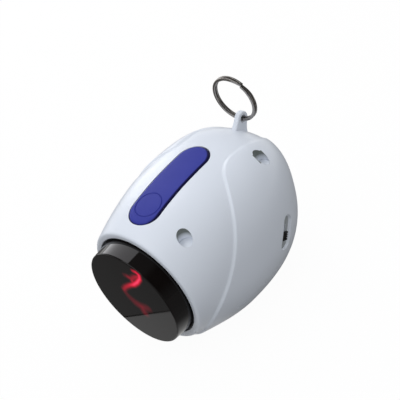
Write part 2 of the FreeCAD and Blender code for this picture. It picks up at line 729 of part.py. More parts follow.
def switch_knob():
    """The black knob of the slide switch: a stem and a grooved cap; it rests at the low end."""
    middle = -KNOB_TRAVEL / 2
    half, cap_half = KNOB_WIDTH / 2, KNOB_CAP_WIDTH / 2
    stem = block((KNOB_GAP - SWITCH_SEAT - SWITCH_HEIGHT / 2, -half, middle - KNOB_LENGTH / 2),
                 (-KNOB_SINK, half, middle + KNOB_LENGTH / 2))
    cap = block((KNOB_GAP - SLOT_DEPTH, -cap_half, middle - KNOB_CAP_LENGTH / 2),
                (-KNOB_SINK, cap_half, middle + KNOB_CAP_LENGTH / 2))
    knob = joined([stem, cap])
    for i in range(KNOB_GROOVES):
        start = middle + (i - (KNOB_GROOVES - 1) / 2) * KNOB_GROOVE_PITCH - KNOB_GROOVE_WIDTH / 2
        knob = knob.cut(block((-KNOB_SINK - KNOB_GROOVE_WIDTH, -KNOB_CAP_WIDTH, start),
                              (0, KNOB_CAP_WIDTH, start + KNOB_GROOVE_WIDTH)))
    return in_slot(knob)


def switch_board():
    """The small board behind the slide switch."""
    outer = -SWITCH_SEAT - SWITCH_HEIGHT
    board = in_slot(block((outer - SWITCH_BOARD_THICKNESS, -SWITCH_BOARD_WIDTH / 2,
                           -SWITCH_BOARD_LENGTH / 2),
                          (outer, SWITCH_BOARD_WIDTH / 2, SWITCH_BOARD_LENGTH / 2)))
    return board.cut(switch_posts(SMALL_SHAFT + FIT, outer - SWITCH_BOARD_THICKNESS, outer))


def switch_screws():
    """The two screws of the small board."""
    seat = -SWITCH_SEAT - SWITCH_HEIGHT - SWITCH_BOARD_THICKNESS
    length = SWITCH_SEAT + SWITCH_HEIGHT + SWITCH_BOARD_THICKNESS - SWITCH_PILOT_END - FIT
    made = []
    for side in (1, -1):
        one = screw(SMALL_SHAFT, length, SMALL_HEAD, SMALL_HEAD_HEIGHT, 0, 0, 0)
        turn = Rotation(Vector(0, 1, 0), -90)
        one.Placement = Placement(Vector(seat, 0, side * SWITCH_POST_SPACING), turn)
        made.append(in_slot(one))
    return made


def battery_cover():
    """The cover of the battery bay: a plate with a tongue in front and a screw tab behind."""
    outside = egg(PANEL_RISE - COVER_RECESS)
    half = BAY_HALF_WIDTH - COVER_GAP
    low, high = COVER_RECESS, COVER_RECESS + COVER_THICKNESS
    front, rear = at(BAY_START) + COVER_GAP, at(BAY_START + BAY_LENGTH)
    plate = block((-half, front, low), (half, rear - COVER_GAP, high))
    tongue = block((-COVER_TONGUE_HALF, front - COVER_TONGUE_LENGTH, high - COVER_TONGUE_THICKNESS),
                   (COVER_TONGUE_HALF, front + 1, high))
    tab = block((-TAB_HALF_WIDTH, rear - 1, low),
                (TAB_HALF_WIDTH, rear + TAB_LENGTH - COVER_GAP, high))
    skin = block((-half, front, low), (half, rear - COVER_GAP, COVER_SKIN_TOP))
    skin = skin.cut(inner_egg(PANEL_RISE - COVER_RECESS - COVER_SKIN))
    cover = joined([plate, tongue, tab, skin]).common(outside)
    y = rear + COVER_SCREW_INSET
    seat = COVER_RECESS + COVER_SCREW_HEAD_HEIGHT
    cover = cover.cut(rod(COVER_SCREW_HEAD + FIT, 0, y, -1, seat))
    cover = cover.cut(rod(COVER_SCREW_SHAFT + FIT, 0, y, -1, high))
    for i in range(GRIP_LINES):
        y = front + GRIP_START + GRIP_PITCH * i
        cover = cover.cut(block((-GRIP_HALF_LENGTH, y, -1),
                                (GRIP_HALF_LENGTH, y + GRIP_WIDTH, COVER_RECESS + GRIP_DEPTH)))
    return cover


def cover_screw():
    """The captive cross-head screw of the battery cover, driven from below."""
    y = at(BAY_START + BAY_LENGTH) + COVER_SCREW_INSET
    seat = COVER_RECESS + COVER_SCREW_HEAD_HEIGHT
    made = screw(COVER_SCREW_SHAFT, COVER_SCREW_LENGTH, COVER_SCREW_HEAD, COVER_SCREW_HEAD_HEIGHT,
                 0, y, seat, up=False)
    long_arm, short_arm = CROSS_LENGTH / 2, CROSS_WIDTH / 2
    for reach_x, reach_y in ((long_arm, short_arm), (short_arm, long_arm)):
        made = made.cut(block((-reach_x, y - reach_y, 0),
                              (reach_x, y + reach_y, COVER_RECESS + CROSS_DEPTH)))
    return made


def cell_places():
    """X of each cell and the way it points; neighbours point opposite ways."""
    middle = (CELL_COUNT - 1) / 2
    return [((i - middle) * CELL_SPACING, 1 if i % 2 else -1) for i in range(CELL_COUNT)]


def cell_height():
    """Z of the cells' axes."""
    return COVER_RECESS + COVER_THICKNESS + CELL_REST + CELL_RADIUS


def cell_ends(way):
    """Y of a cell's flat end and of its button end, for one that points a way."""
    flat_stop = CONTACT_THICKNESS + SPRING_LENGTH
    length = CELL_LENGTH + CELL_BUTTON_LENGTH
    if way > 0:
        flat = at(BAY_START) + flat_stop
        return flat, flat + length
    flat = at(BAY_START + BAY_LENGTH) - flat_stop
    return flat, flat - length


def battery_cells():
    """Plain round cells with their buttons."""
    cells = []
    for x, way in cell_places():
        flat, button = cell_ends(way)
        start, axis = Vector(x, flat, cell_height()), Vector(0, way, 0)
        body = Part.makeCylinder(CELL_RADIUS, CELL_LENGTH, start, axis)
        end = Part.makeCylinder(CELL_BUTTON_RADIUS, CELL_LENGTH + CELL_BUTTON_LENGTH, start, axis)
        cells.append(joined([body, end]))
    return cells


def contact_plate(x, y, way, dimple):
    """A square contact on a wall of the bay; way points from the wall to the cell."""
    half, z = CONTACT_SIDE / 2, cell_height()
    low = min(y, y + way * CONTACT_THICKNESS)
    plate = block((x - half, low, z - half), (x + half, low + CONTACT_THICKNESS, z + half))
    if not dimple:
        return plate
    start = Vector(x, y + way * CONTACT_THICKNESS, z)
    button_gap = BAY_LENGTH - 2 * CONTACT_THICKNESS - SPRING_LENGTH - CELL_LENGTH - CELL_BUTTON_LENGTH
    foot, tip = CELL_BUTTON_RADIUS * CONTACT_CONE_FOOT, CELL_BUTTON_RADIUS * CONTACT_CONE_TIP
    cone = Part.makeCone(foot, tip, button_gap, start, Vector(0, way, 0))
    return joined([plate, cone])


def contacts(spring_side):
    """Either the plates under the springs or the raised plates at the button ends."""
    plates = []
    for x, way in cell_places():
        near, far = at(BAY_START), at(BAY_START + BAY_LENGTH)
        spring_wall, button_wall = (near, far) if way > 0 else (far, near)
        if spring_side:
            plates.append(contact_plate(x, spring_wall, way, False))
        else:
            plates.append(contact_plate(x, button_wall, -way, True))
    return plates


def arc_between(start, corner, end):
    """The arc that leaves start towards a corner and arrives at end, as far from it."""
    middle = (start + end) * 0.5
    reach = (corner - start).Length
    cosine = (middle - start).Length / reach
    bulge = middle + (corner - middle) * (cosine / (1 + cosine))
    return Part.Arc(start, bulge, end).toShape()


def biarcs(points, ways):
    """A smooth wire through points with given directions, two arcs to each span."""
    edges = []
    for p, q, go, come in zip(points, points[1:], ways, ways[1:]):
        chord = q - p
        a = 2 * (1 - go.dot(come))
        b = 2 * chord.dot(go + come)
        c = -chord.dot(chord)
        reach = -c / b if a < 1e-9 else (math.sqrt(b * b - 4 * a * c) - b) / (2 * a)
        first, second = p + go * reach, q - come * reach
        joint = (first + second) * 0.5
        edges.append(arc_between(p, first, joint))
        edges.append(arc_between(joint, second, q))
    return Part.Wire(edges)


def helix_points(turns, steps, radius_at, height_at, start_angle=0.0):
    """Points and directions of a coil round Z, from formulas of the turn number."""
    points, ways = [], []
    count = int(round(turns * steps))
    for i in range(count + 1):
        turn = i / steps
        small = 1e-4
        ends = []
        for t in (turn - small, turn, turn + small):
            angle = math.radians(start_angle) + 2 * math.pi * t
            radius = radius_at(t)
            ends.append(Vector(radius * math.cos(angle), radius * math.sin(angle), height_at(t)))
        points.append(ends[1])
        ways.append((ends[2] - ends[0]).normalize())
    return points, ways


def least_gap(points_per_turn, turns, radius_at, height_at, thickness):
    """Least gap between neighbouring turns of a coil, measured on its points."""
    points = helix_points(turns, points_per_turn, radius_at, height_at)[0]
    least = FAR
    for i, p in enumerate(points):
        for q in points[i + points_per_turn // 2:]:
            least = min(least, p.distanceToPoint(q))
    return least - thickness


def contact_springs():
    """One conical coil spring behind each cell, an unbroken wire with straight ends."""
    climb = (SPRING_LENGTH - SPRING_WIRE) / SPRING_TURNS

    def radius_at(turn):
        share = min(max(turn / SPRING_TURNS, 0), 1)
        return SPRING_BIG + (SPRING_SMALL - SPRING_BIG) * share

    def height_at(turn):
        return SPRING_WIRE / 2 + climb * turn

    points, ways = helix_points(SPRING_TURNS, 4, radius_at, height_at)
    gap = least_gap(24, SPRING_TURNS, radius_at, height_at, SPRING_WIRE)
    print("contact spring, least gap between turns", round(gap, 2))
    flat_start = Vector(ways[0].x, ways[0].y, 0).normalize()
    flat_end = Vector(ways[-1].x, ways[-1].y, 0).normalize()
    ways[0], ways[-1] = flat_start, flat_end
    lead_in = Part.LineSegment(points[0] - flat_start * SPRING_WIRE, points[0]).toShape()
    lead_out = Part.LineSegment(points[-1], points[-1] + flat_end * SPRING_WIRE).toShape()
    path = Part.Wire([lead_in] + biarcs(points, ways).Edges + [lead_out])
    start = points[0] - flat_start * SPRING_WIRE
    across = flat_start.cross(Vector(0, 0, 1))
    outline = []
    for i in range(SPRING_SIDES + 1):
        turn = 2 * math.pi * i / SPRING_SIDES
        outline.append(start + (across * math.cos(turn) + Vector(0, 0, math.sin(turn))) * (SPRING_WIRE / 2))
    coil = path.makePipeShell([Part.makePolygon(outline)], True, False)
    springs = []
    for x, way in cell_places():
        one = coil.copy()
        wall = at(BAY_START) if way > 0 else at(BAY_START + BAY_LENGTH)
        base = Vector(x, wall + way * CONTACT_THICKNESS, cell_height())
        one.Placement = Placement(base, Rotation(Vector(0, 0, 1), Vector(0, way, 0)))
        springs.append(one)
    return springs


def split_ring():
    """The split ring: flattened wire wound twice round, hung through the lug."""
    mean = RING_OUTER - RING_WIRE_WIDTH / 2
    climb = RING_WIRE_THICKNESS + RING_COIL_GAP

    def radius_at(turn):
        return mean

    def height_at(turn):
        return climb * (turn - RING_TURNS / 2)

    gap = least_gap(24, RING_TURNS, radius_at, height_at, RING_WIRE_THICKNESS)
    print("split ring, least gap between turns", round(gap, 2))
    points, ways = helix_points(RING_TURNS, 4, radius_at, height_at, RING_START)
    path = biarcs(points, ways)
    start, way = points[0], ways[0]
    across = Vector(start.x, start.y, 0).normalize()
    up = way.cross(across).normalize()
    half_w, half_t = RING_WIRE_WIDTH / 2, RING_WIRE_THICKNESS / 2
    corners = [(-half_w, -half_t), (half_w, -half_t), (half_w, half_t), (-half_w, half_t)]
    corners = [start + across * a + up * b for a, b in corners]
    outline = Part.makePolygon(corners + corners[:1])
    ring = path.makePipeShell([outline], True, False)
    lean = math.radians(RING_LEAN)
    along = Vector(0, math.cos(lean), math.sin(lean))
    hole = Vector(0, at(LUG_AT), AXIS_HEIGHT + LUG_HEIGHT)
    side = Vector(0, math.sin(lean), -math.cos(lean))
    centre = hole + along * mean
    matrix = Matrix(0, 1, 0, centre.x, along.y, 0, side.y, centre.y,
                    along.z, 0, side.z, centre.z, 0, 0, 0, 1)
    ring.Placement = Placement(matrix)
    return ring


def drive_place():
    """Placement of the mirror drive: its Z leans back and up from the middle of the mirror."""
    centre = Vector(0, at(MIRROR_AT), AXIS_HEIGHT)
    return Placement(centre, Rotation(Vector(1, 0, 0), -DRIVE_SLOPE))


def in_drive(shape):
    """Move a shape from the drive's own axes to the case."""
    shape.Placement = drive_place().multiply(shape.Placement)
    return shape


def pitch_radius(teeth):
    """Pitch radius of a gear."""
    return GEAR_MODULE * teeth / 2


def idler_place():
    """Where the idler turns, in the drive's axes."""
    reach = pitch_radius(WHEEL_TEETH) + pitch_radius(PINION_TEETH) + CENTRE_SLACK
    turn = math.radians(IDLER_TURN)
    return reach * math.cos(turn), reach * math.sin(turn)


def motor_place():
    """Where the motor turns, in the drive's axes: on the middle plane."""
    x, y = idler_place()
    reach = pitch_radius(IDLER_TEETH) + pitch_radius(PINION_TEETH) + CENTRE_SLACK
    return 0.0, y + math.sqrt(reach * reach - x * x)


def gear(teeth, x, y, low, high, tooth_turn):
    """A spur gear with involute flanks; tooth_turn is the direction of one tooth, in degrees."""
    pitch = pitch_radius(teeth)
    base = pitch * math.cos(math.radians(PRESSURE_ANGLE))
    tip = pitch + TOOTH_ADDENDUM * GEAR_MODULE
    root = pitch - TOOTH_DEDENDUM * GEAR_MODULE

    def roll(radius):
        angle = math.acos(min(base / radius, 1.0))
        return math.tan(angle) - angle

    half_pitch_angle = math.pi / (2 * teeth) - TOOTH_BACKLASH / (2 * pitch)
    flank = []
    for radius in (max(base, root), pitch, tip):
        flank.append((radius, half_pitch_angle + roll(pitch) - roll(radius)))
    flank.insert(0, (root, flank[0][1]))
    outline = []
    for i in range(teeth):
        middle = math.radians(tooth_turn) + 2 * math.pi * i / teeth
        for radius, spread in flank:
            outline.append((radius, middle - spread))
        for radius, spread in reversed(flank):
            outline.append((radius, middle + spread))
    points = [Vector(x + r * math.cos(a), y + r * math.sin(a), low) for r, a in outline]
    face = Part.Face(Part.makePolygon(points + points[:1]))
    return face.extrude(Vector(0, 0, high - low))


def direction(start, end):
    """Direction from one place to another, in degrees."""
    return math.degrees(math.atan2(end[1] - start[1], end[0] - start[0]))


def layers():
    """Heights of the two gear layers: the wheel's and the motor's."""
    wheel_top = WHEEL_BOTTOM + WHEEL_THICKNESS
    motor_low = wheel_top + LAYER_GAP
    return wheel_top, motor_low, motor_low + IDLER_THICKNESS


def mirror_face(low, high):
    """A slab across the mirror's hub at the mirror's tilt."""
    slab = block((-FAR, -FAR, low), (FAR, FAR, high))
    slab.Placement = Placement(Vector(0, 0, 0), Rotation(Vector(1, 0, 0), MIRROR_TILT))
    return slab


def mirror_wheel():
    """The wheel that carries the mirror on a slanted hub."""
    wheel_top, motor_low, motor_high = layers()
    toward_idler = direction((0, 0), idler_place())
    wheel = gear(WHEEL_TEETH, 0, 0, WHEEL_BOTTOM, wheel_top, toward_idler)
    front_hub = rod(WHEEL_HUB_RADIUS, 0, 0, -1, WHEEL_BOTTOM + 1).common(mirror_face(0, FAR))
    rear_hub = rod(BUSH_RADIUS, 0, 0, wheel_top - 1, PLATE_BOTTOM - END_PLAY)
    wheel = joined([wheel, front_hub, rear_hub])
    return in_drive(wheel.cut(rod(AXLE_RADIUS, 0, 0, WHEEL_BOTTOM + 1, PLATE_BOTTOM)))


def mirror():
    """The round mirror, glued to the slanted hub."""
    disc = rod(MIRROR_RADIUS, 0, 0, -MIRROR_THICKNESS, 0)
    disc.Placement = Placement(Vector(0, 0, 0), Rotation(Vector(1, 0, 0), MIRROR_TILT))
    return in_drive(disc)


def bush_end():
    """Height of the end of the long bearing in the frame."""
    return PLATE_BOTTOM + PLATE_THICKNESS + BUSH_LENGTH


def mirror_axle():
    """The steel axle pressed into the mirror's wheel."""
    high = bush_end() + END_PLAY + 2 * CLIP_THICKNESS
    return in_drive(rod(AXLE_RADIUS, 0, 0, WHEEL_BOTTOM + 1, high))


def axle_clip():
    """The clip that keeps the axle in its bearing."""
    low = bush_end() + END_PLAY
    ring = rod(CLIP_RADIUS, 0, 0, low, low + CLIP_THICKNESS)
    ring = ring.cut(rod(AXLE_RADIUS, 0, 0, low, low + CLIP_THICKNESS))
    mouth = AXLE_RADIUS * CLIP_MOUTH_SHARE
    return in_drive(ring.cut(block((-mouth, 0, low), (mouth, CLIP_RADIUS, low + CLIP_THICKNESS))))


def idler_gear():
    """The idler: a big gear and a small one in one moulding."""
    wheel_top, motor_low, motor_high = layers()
    x, y = idler_place()
    toward_wheel = direction(idler_place(), (0, 0))
    toward_motor = direction(idler_place(), motor_place())
    gap_turn = toward_wheel + 180 / PINION_TEETH
    small = gear(PINION_TEETH, x, y, WHEEL_BOTTOM, motor_high, gap_turn)
    big = gear(IDLER_TEETH, x, y, motor_low, motor_high, toward_motor)
    hub = rod(BUSH_RADIUS, x, y, motor_low, PLATE_BOTTOM - END_PLAY)
    idler = joined([small, big, hub])
    return in_drive(idler.cut(rod(AXLE_RADIUS + AXLE_CLEARANCE, x, y, 0, PLATE_BOTTOM)))


def idler_pin():
    """The headed pin that the idler turns on, pressed into the frame."""
    x, y = idler_place()
    low = WHEEL_BOTTOM - END_PLAY
    head = rod(PIN_HEAD_SHARE * AXLE_RADIUS, x, y, low - CLIP_THICKNESS, low)
    pin = rod(AXLE_RADIUS, x, y, low - CLIP_THICKNESS, PLATE_BOTTOM + PLATE_THICKNESS)
    return in_drive(joined([head, pin]))


def motor():
    """The flat-sided motor can with its nose, bored for the shaft."""
    x, y = motor_place()
    low = PLATE_BOTTOM + PLATE_THICKNESS
    can = rod(MOTOR_RADIUS, x, y, low, low + MOTOR_LENGTH)
    can = can.common(block((x - MOTOR_FLAT, y - FAR, low), (x + MOTOR_FLAT, y + FAR, FAR)))
    nose = rod(MOTOR_NOSE_RADIUS, x, y, PLATE_BOTTOM + END_PLAY, low + 1)
    can = joined([can, nose])
    bore = rod(MOTOR_SHAFT + FIT, x, y, 0, low + MOTOR_LENGTH - MOTOR_BORE_STOP)
    return in_drive(can.cut(bore))


def motor_shaft():
    """The motor's shaft."""
    x, y = motor_place()
    low = layers()[1] - END_PLAY
    high = PLATE_BOTTOM + PLATE_THICKNESS + MOTOR_LENGTH - MOTOR_BORE_STOP - END_PLAY
    return in_drive(rod(MOTOR_SHAFT, x, y, low, high))


def motor_pinion():
    """The brass pinion on the motor's shaft."""
    wheel_top, motor_low, motor_high = layers()
    x, y = motor_place()
    toward_idler = direction(motor_place(), idler_place())
    turn = toward_idler + 180 / PINION_TEETH
    pinion = gear(PINION_TEETH, x, y, motor_low, motor_high, turn)
    return in_drive(pinion.cut(rod(MOTOR_SHAFT, x, y, motor_low, motor_high)))


def drive_frame():
    """The frame: base, sloping plate with bearings, motor cradle, gussets and laser holder."""
    base_low, base_high = SEAM_HEIGHT, SEAM_HEIGHT + BASE_THICKNESS
    slope = math.radians(DRIVE_SLOPE)
    rise = AXIS_HEIGHT + PLATE_BOTTOM * math.cos(slope) - base_low
    below = rise / math.sin(slope)
    plate = block((-PLATE_HALF_WIDTH, -PLATE_ABOVE, PLATE_BOTTOM),
                  (PLATE_HALF_WIDTH, below + PLATE_THICKNESS, PLATE_BOTTOM + PLATE_THICKNESS))
    mx, my = motor_place()
    cradle_low = PLATE_BOTTOM + PLATE_THICKNESS
    wall = CRADLE_WALL + CRADLE_CLEARANCE
    outer_x, outer_y = MOTOR_FLAT + wall, MOTOR_RADIUS + wall
    cradle = block((mx - outer_x, my - outer_y, cradle_low - 1),
                   (mx + outer_x, my + outer_y, cradle_low + CRADLE_LENGTH))
    bush = rod(BUSH_RADIUS, 0, 0, PLATE_BOTTOM, bush_end())
    sloping = [in_drive(piece) for piece in (plate, cradle, bush)]
    foot_y = at(MIRROR_AT) + (PLATE_BOTTOM + PLATE_THICKNESS) * math.sin(slope) + below * math.cos(slope)
    base_end = foot_y + BASE_THICKNESS
    level = [block((-BASE_HALF_WIDTH, at(BASE_START), base_low), (BASE_HALF_WIDTH, base_end, base_high))]
    for x, y in foot_spots():
        level.append(rod(FOOT_RADIUS, x, y, base_low, base_high))
        inner = math.copysign(BASE_HALF_WIDTH - 1, x)
        low_x, high_x = min(x, inner), max(x, inner)
        level.append(block((low_x, y - FOOT_RADIUS, base_low), (high_x, y + FOOT_RADIUS, base_high)))
    gusset = []
    top = base_high + GUSSET_LENGTH
    for y, z in ((foot_y - GUSSET_LENGTH, base_low), (foot_y, base_low),
                 (foot_y - GUSSET_LENGTH, top), (foot_y - GUSSET_LENGTH, base_low)):
        gusset.append(Vector(PLATE_HALF_WIDTH - GUSSET_THICKNESS, y, z))
    gusset = Part.Face(Part.makePolygon(gusset)).extrude(Vector(GUSSET_THICKNESS, 0, 0))
    y = at(MIRROR_AT)
    holder = rod(LASER_RADIUS + HOLDER_WALL, 0, y, base_low, base_high + HOLDER_HEIGHT)
    frame = joined(sloping + level + both_sides(gusset) + [holder])
    frame = frame.common(block((-FAR, -FAR, base_low), (FAR, FAR, 2 * FAR)))
    inner_x, inner_y = MOTOR_FLAT + CRADLE_CLEARANCE, MOTOR_RADIUS + CRADLE_CLEARANCE
    ix, iy = idler_place()
    plate_high = PLATE_BOTTOM + PLATE_THICKNESS
    holes = [block((mx - inner_x, my - inner_y, cradle_low), (mx + inner_x, my + inner_y, FAR)),
             rod(AXLE_RADIUS + AXLE_CLEARANCE, 0, 0, 0, FAR),
             rod(AXLE_RADIUS, ix, iy, PLATE_BOTTOM, plate_high),
             rod(MOTOR_NOSE_RADIUS + FIT, mx, my, PLATE_BOTTOM, plate_high + 1)]
    holes = [in_drive(hole) for hole in holes]
    holes.append(rod(LASER_RADIUS + FIT, 0, y, base_high, FAR))
    holes.append(block((-HOLDER_SLIT / 2, y - FAR, base_high + 1), (HOLDER_SLIT / 2, y, FAR)))
    for x, foot in foot_spots():
        holes.append(rod(SMALL_SHAFT + FIT, x, foot, base_low, base_high))
    return frame.cut(holes)


def laser_module():
    """The brass laser module standing in its holder, hollow at the top for its lens."""
    y, low = at(MIRROR_AT), SEAM_HEIGHT + BASE_THICKNESS
    top = low + LASER_LENGTH
    body = rod(LASER_RADIUS, 0, y, low, top)
    return body.cut(rod(LASER_LENS_RADIUS, 0, y, top - 2 * LASER_LENS_THICKNESS, top))


def laser_lens():
    """The small lens in the end of the laser module."""
    y, low = at(MIRROR_AT), SEAM_HEIGHT + BASE_THICKNESS + LASER_LENGTH
    return rod(LASER_LENS_RADIUS, 0, y, low - 2 * LASER_LENS_THICKNESS, low - LASER_LENS_THICKNESS)


def case_screws():
    """The four screws that hold the two shells together."""
    return [screw(SCREW_SHAFT, SCREW_SHAFT_LENGTH, SCREW_HEAD, SCREW_HEAD_HEIGHT, x, y, SCREW_SHELF)
            for x, y, plug_top in screw_spots()]


def screw_plugs(body, raised):
    """The four plugs that close the screw holes: two sunk, two cut flush with the case."""
    outside = body.fuse(raised.common(both_sides(panel_region())[1]))
    plugs = []
    for x, y, plug_top in screw_spots():
        if x > 0:
            plugs.append(rod(SCREW_BORE - FIT, x, y, plug_top - PLUG_LENGTH, plug_top))
        else:
            plugs.append(rod(SCREW_BORE - FIT, x, y, plug_top - PLUG_LENGTH, FAR).common(outside))
    return plugs


def board_screws():
    """The four screws under the circuit board."""
    seat = BOARD_TOP - BOARD_THICKNESS
    return [screw(SMALL_SHAFT, SMALL_LENGTH, SMALL_HEAD, SMALL_HEAD_HEIGHT, x, y, seat, up=False)
            for x, y in board_spots()]


def frame_screws():
    """The four screws through the feet of the drive frame."""
    seat = SEAM_HEIGHT + BASE_THICKNESS
    return [screw(SMALL_SHAFT, SMALL_LENGTH, SMALL_HEAD, SMALL_HEAD_HEIGHT, x, y, seat)
            for x, y in foot_spots()]


def save(name, made):
    """Write one node."""
    shape = made if not isinstance(made, list) else Part.makeCompound(made)
    solids = shape.Solids
    volume = sum(solid.Volume for solid in solids)
    print(f"{name}: {len(solids)} solids, {volume:.0f} mm3, valid {shape.isValid()}")
    shape.exportStep(f"parts/{name}.step")


def main():
    """Build every node."""
    os.makedirs("parts", exist_ok=True)
    body = plain_body()
    raised = egg(PANEL_RISE)
    cavity = inner_egg(-WALL, FRONT_WALL)
    root = inner_egg(-ROOT_DEPTH)
    save("top_shell", top_shell(body, raised, cavity, root))
    save("bottom_shell", bottom_shell(body, raised, cavity, root))
    save("window_cap", window_cap())
    save("push_button", push_button())
    save("screw_plugs", screw_plugs(body, raised))
    save("case_screws", case_screws())
    save("split_ring", split_ring())
    save("slide_switch", slide_switch())
    save("switch_knob", switch_knob())
    save("switch_board", switch_board())
    save("switch_screws", switch_screws())
    save("circuit_board", circuit_board())
    save("board_chip", board_chip())
    save("board_screws", board_screws())
    save("press_switch", press_switch())
    save("press_plunger", press_plunger())
    save("battery_cover", battery_cover())
    save("cover_screw", cover_screw())
    save("battery_cells", battery_cells())
    save("contact_springs", contact_springs())
    save("spring_contacts", contacts(True))
    save("button_contacts", contacts(False))
    save("drive_frame", drive_frame())
    save("frame_screws", frame_screws())
    save("motor", motor())
    save("motor_shaft", motor_shaft())
    save("motor_pinion", motor_pinion())
    save("idler_gear", idler_gear())
    save("idler_pin", idler_pin())
    save("mirror_wheel", mirror_wheel())
    save("mirror_axle", mirror_axle())
    save("axle_clip", axle_clip())
    save("mirror", mirror())
    save("laser_module", laser_module())
    save("laser_lens", laser_lens())


main()
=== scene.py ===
# %% [markdown]
# # Cat laser pointer: its looks
#
# The pointer is an egg-shaped case of satin white plastic with a smoked window in front, a long
# blue button on top, a steel key ring behind and a small slide switch on its right side. Its
# construction is packed already, in metres, with +Z up, and stays as it is. This lesson gives
# each piece the finish that the real one has, and builds finer surfaces where the eye rests.

import json
import math

import bpy
import numpy as np
from mathutils import Matrix, Quaternion, Vector
from mathutils.bvhtree import BVHTree
from mathutils.interpolate import poly_3d_calc

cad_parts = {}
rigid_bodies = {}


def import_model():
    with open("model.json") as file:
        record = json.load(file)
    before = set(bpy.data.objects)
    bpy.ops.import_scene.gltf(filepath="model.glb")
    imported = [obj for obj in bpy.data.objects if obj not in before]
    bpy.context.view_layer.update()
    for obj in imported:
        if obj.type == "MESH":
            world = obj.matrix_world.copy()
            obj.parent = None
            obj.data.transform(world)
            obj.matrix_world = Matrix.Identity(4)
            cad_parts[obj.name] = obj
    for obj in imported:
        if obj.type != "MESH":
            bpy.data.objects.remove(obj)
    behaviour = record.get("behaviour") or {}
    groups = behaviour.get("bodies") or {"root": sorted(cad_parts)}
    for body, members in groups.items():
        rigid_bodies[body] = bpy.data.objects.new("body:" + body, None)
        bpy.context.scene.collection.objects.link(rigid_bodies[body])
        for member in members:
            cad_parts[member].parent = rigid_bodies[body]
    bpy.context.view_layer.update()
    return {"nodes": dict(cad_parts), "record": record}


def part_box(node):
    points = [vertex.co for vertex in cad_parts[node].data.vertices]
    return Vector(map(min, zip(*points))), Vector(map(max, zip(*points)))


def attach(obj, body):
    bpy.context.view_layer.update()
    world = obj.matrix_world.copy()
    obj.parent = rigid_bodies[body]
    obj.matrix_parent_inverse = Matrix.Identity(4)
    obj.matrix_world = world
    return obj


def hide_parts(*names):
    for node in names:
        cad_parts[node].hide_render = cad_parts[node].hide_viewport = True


for start_object in list(bpy.data.objects):
    bpy.data.objects.remove(start_object)
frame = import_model()
nodes = frame["nodes"]

# %% [markdown]
# ## Camera
#
# The photograph was taken from above, to the right of the window, with a long lens and the
# pointer turned so that its window looks down to the left. The roll of the camera does that.
# Its place, aim and lens were fitted to the outlines of the case, the window and the button.

# %% Camera
MM = 0.001
CAMERA_PLACE = Vector((245.5, -189.35, 290.0)) * MM
CAMERA_AIM = Vector((-22.97, 19.56, 26.98)) * MM
CAMERA_ROLL = -18.64
CAMERA_LENS = 78.66

bpy.ops.object.camera_add(location=CAMERA_PLACE)
camera = bpy.context.object
camera.name = "camera"
level = (CAMERA_AIM - CAMERA_PLACE).to_track_quat("-Z", "Y")
camera.rotation_mode = "QUATERNION"
camera.rotation_quaternion = level @ Quaternion((0, 0, 1), math.radians(CAMERA_ROLL))
camera.data.lens = CAMERA_LENS
camera.data.clip_start = 0.01
bpy.context.scene.camera = camera
bpy.context.scene.view_settings.view_transform = "Standard"
print("camera", [round(part, 4) for part in camera.location], "lens", CAMERA_LENS)


# %% [markdown]
# ## A short way to write shader maths
#
# A finish is a handful of formulas: a mask, a noise, a mixture. Written as nodes one by one they
# are hard to read. The class below wraps a socket, so that `mask * 0.2 + 0.3` adds its Math
# nodes, and one method makes any other node from its settings and its sockets.

# %% Shader sockets that take part in expressions
class Value:
    """An output of a node, usable in sums and products."""

    def __init__(self, finish, socket):
        self.finish = finish
        self.socket = socket

    def maths(self, operation, first, second=None, clamp=False):
        """One Math node on one or two values."""
        sockets = {0: first} if second is None else {0: first, 1: second}
        return self.finish.node("ShaderNodeMath", {"operation": operation, "use_clamp": clamp}, sockets)

    def __add__(self, other):
        return self.maths("ADD", self, other)

    def __sub__(self, other):
        return self.maths("SUBTRACT", self, other)

    def __rsub__(self, other):
        return self.maths("SUBTRACT", other, self)

    def __mul__(self, other):
        return self.maths("MULTIPLY", self, other)

    def __truediv__(self, other):
        return self.maths("DIVIDE", self, other)

    def __pow__(self, other):
        return self.maths("POWER", self, other)

    __radd__ = __add__
    __rmul__ = __mul__

    def absolute(self):
        """The value without its sign."""
        return self.maths("ABSOLUTE", self)

    def larger(self, other):
        """The larger of two values."""
        return self.maths("MAXIMUM", self, other)

    def clamped(self):
        """The value kept between 0 and 1."""
        return self.maths("ADD", self, 0.0, clamp=True)

    def ramp(self, low, high):
        """Smoothly from 0 at one value to 1 at another."""
        settings = {"interpolation_type": "SMOOTHSTEP"}
        return self.finish.node("ShaderNodeMapRange", settings,
                                {"Value": self, "From Min": low, "From Max": high})


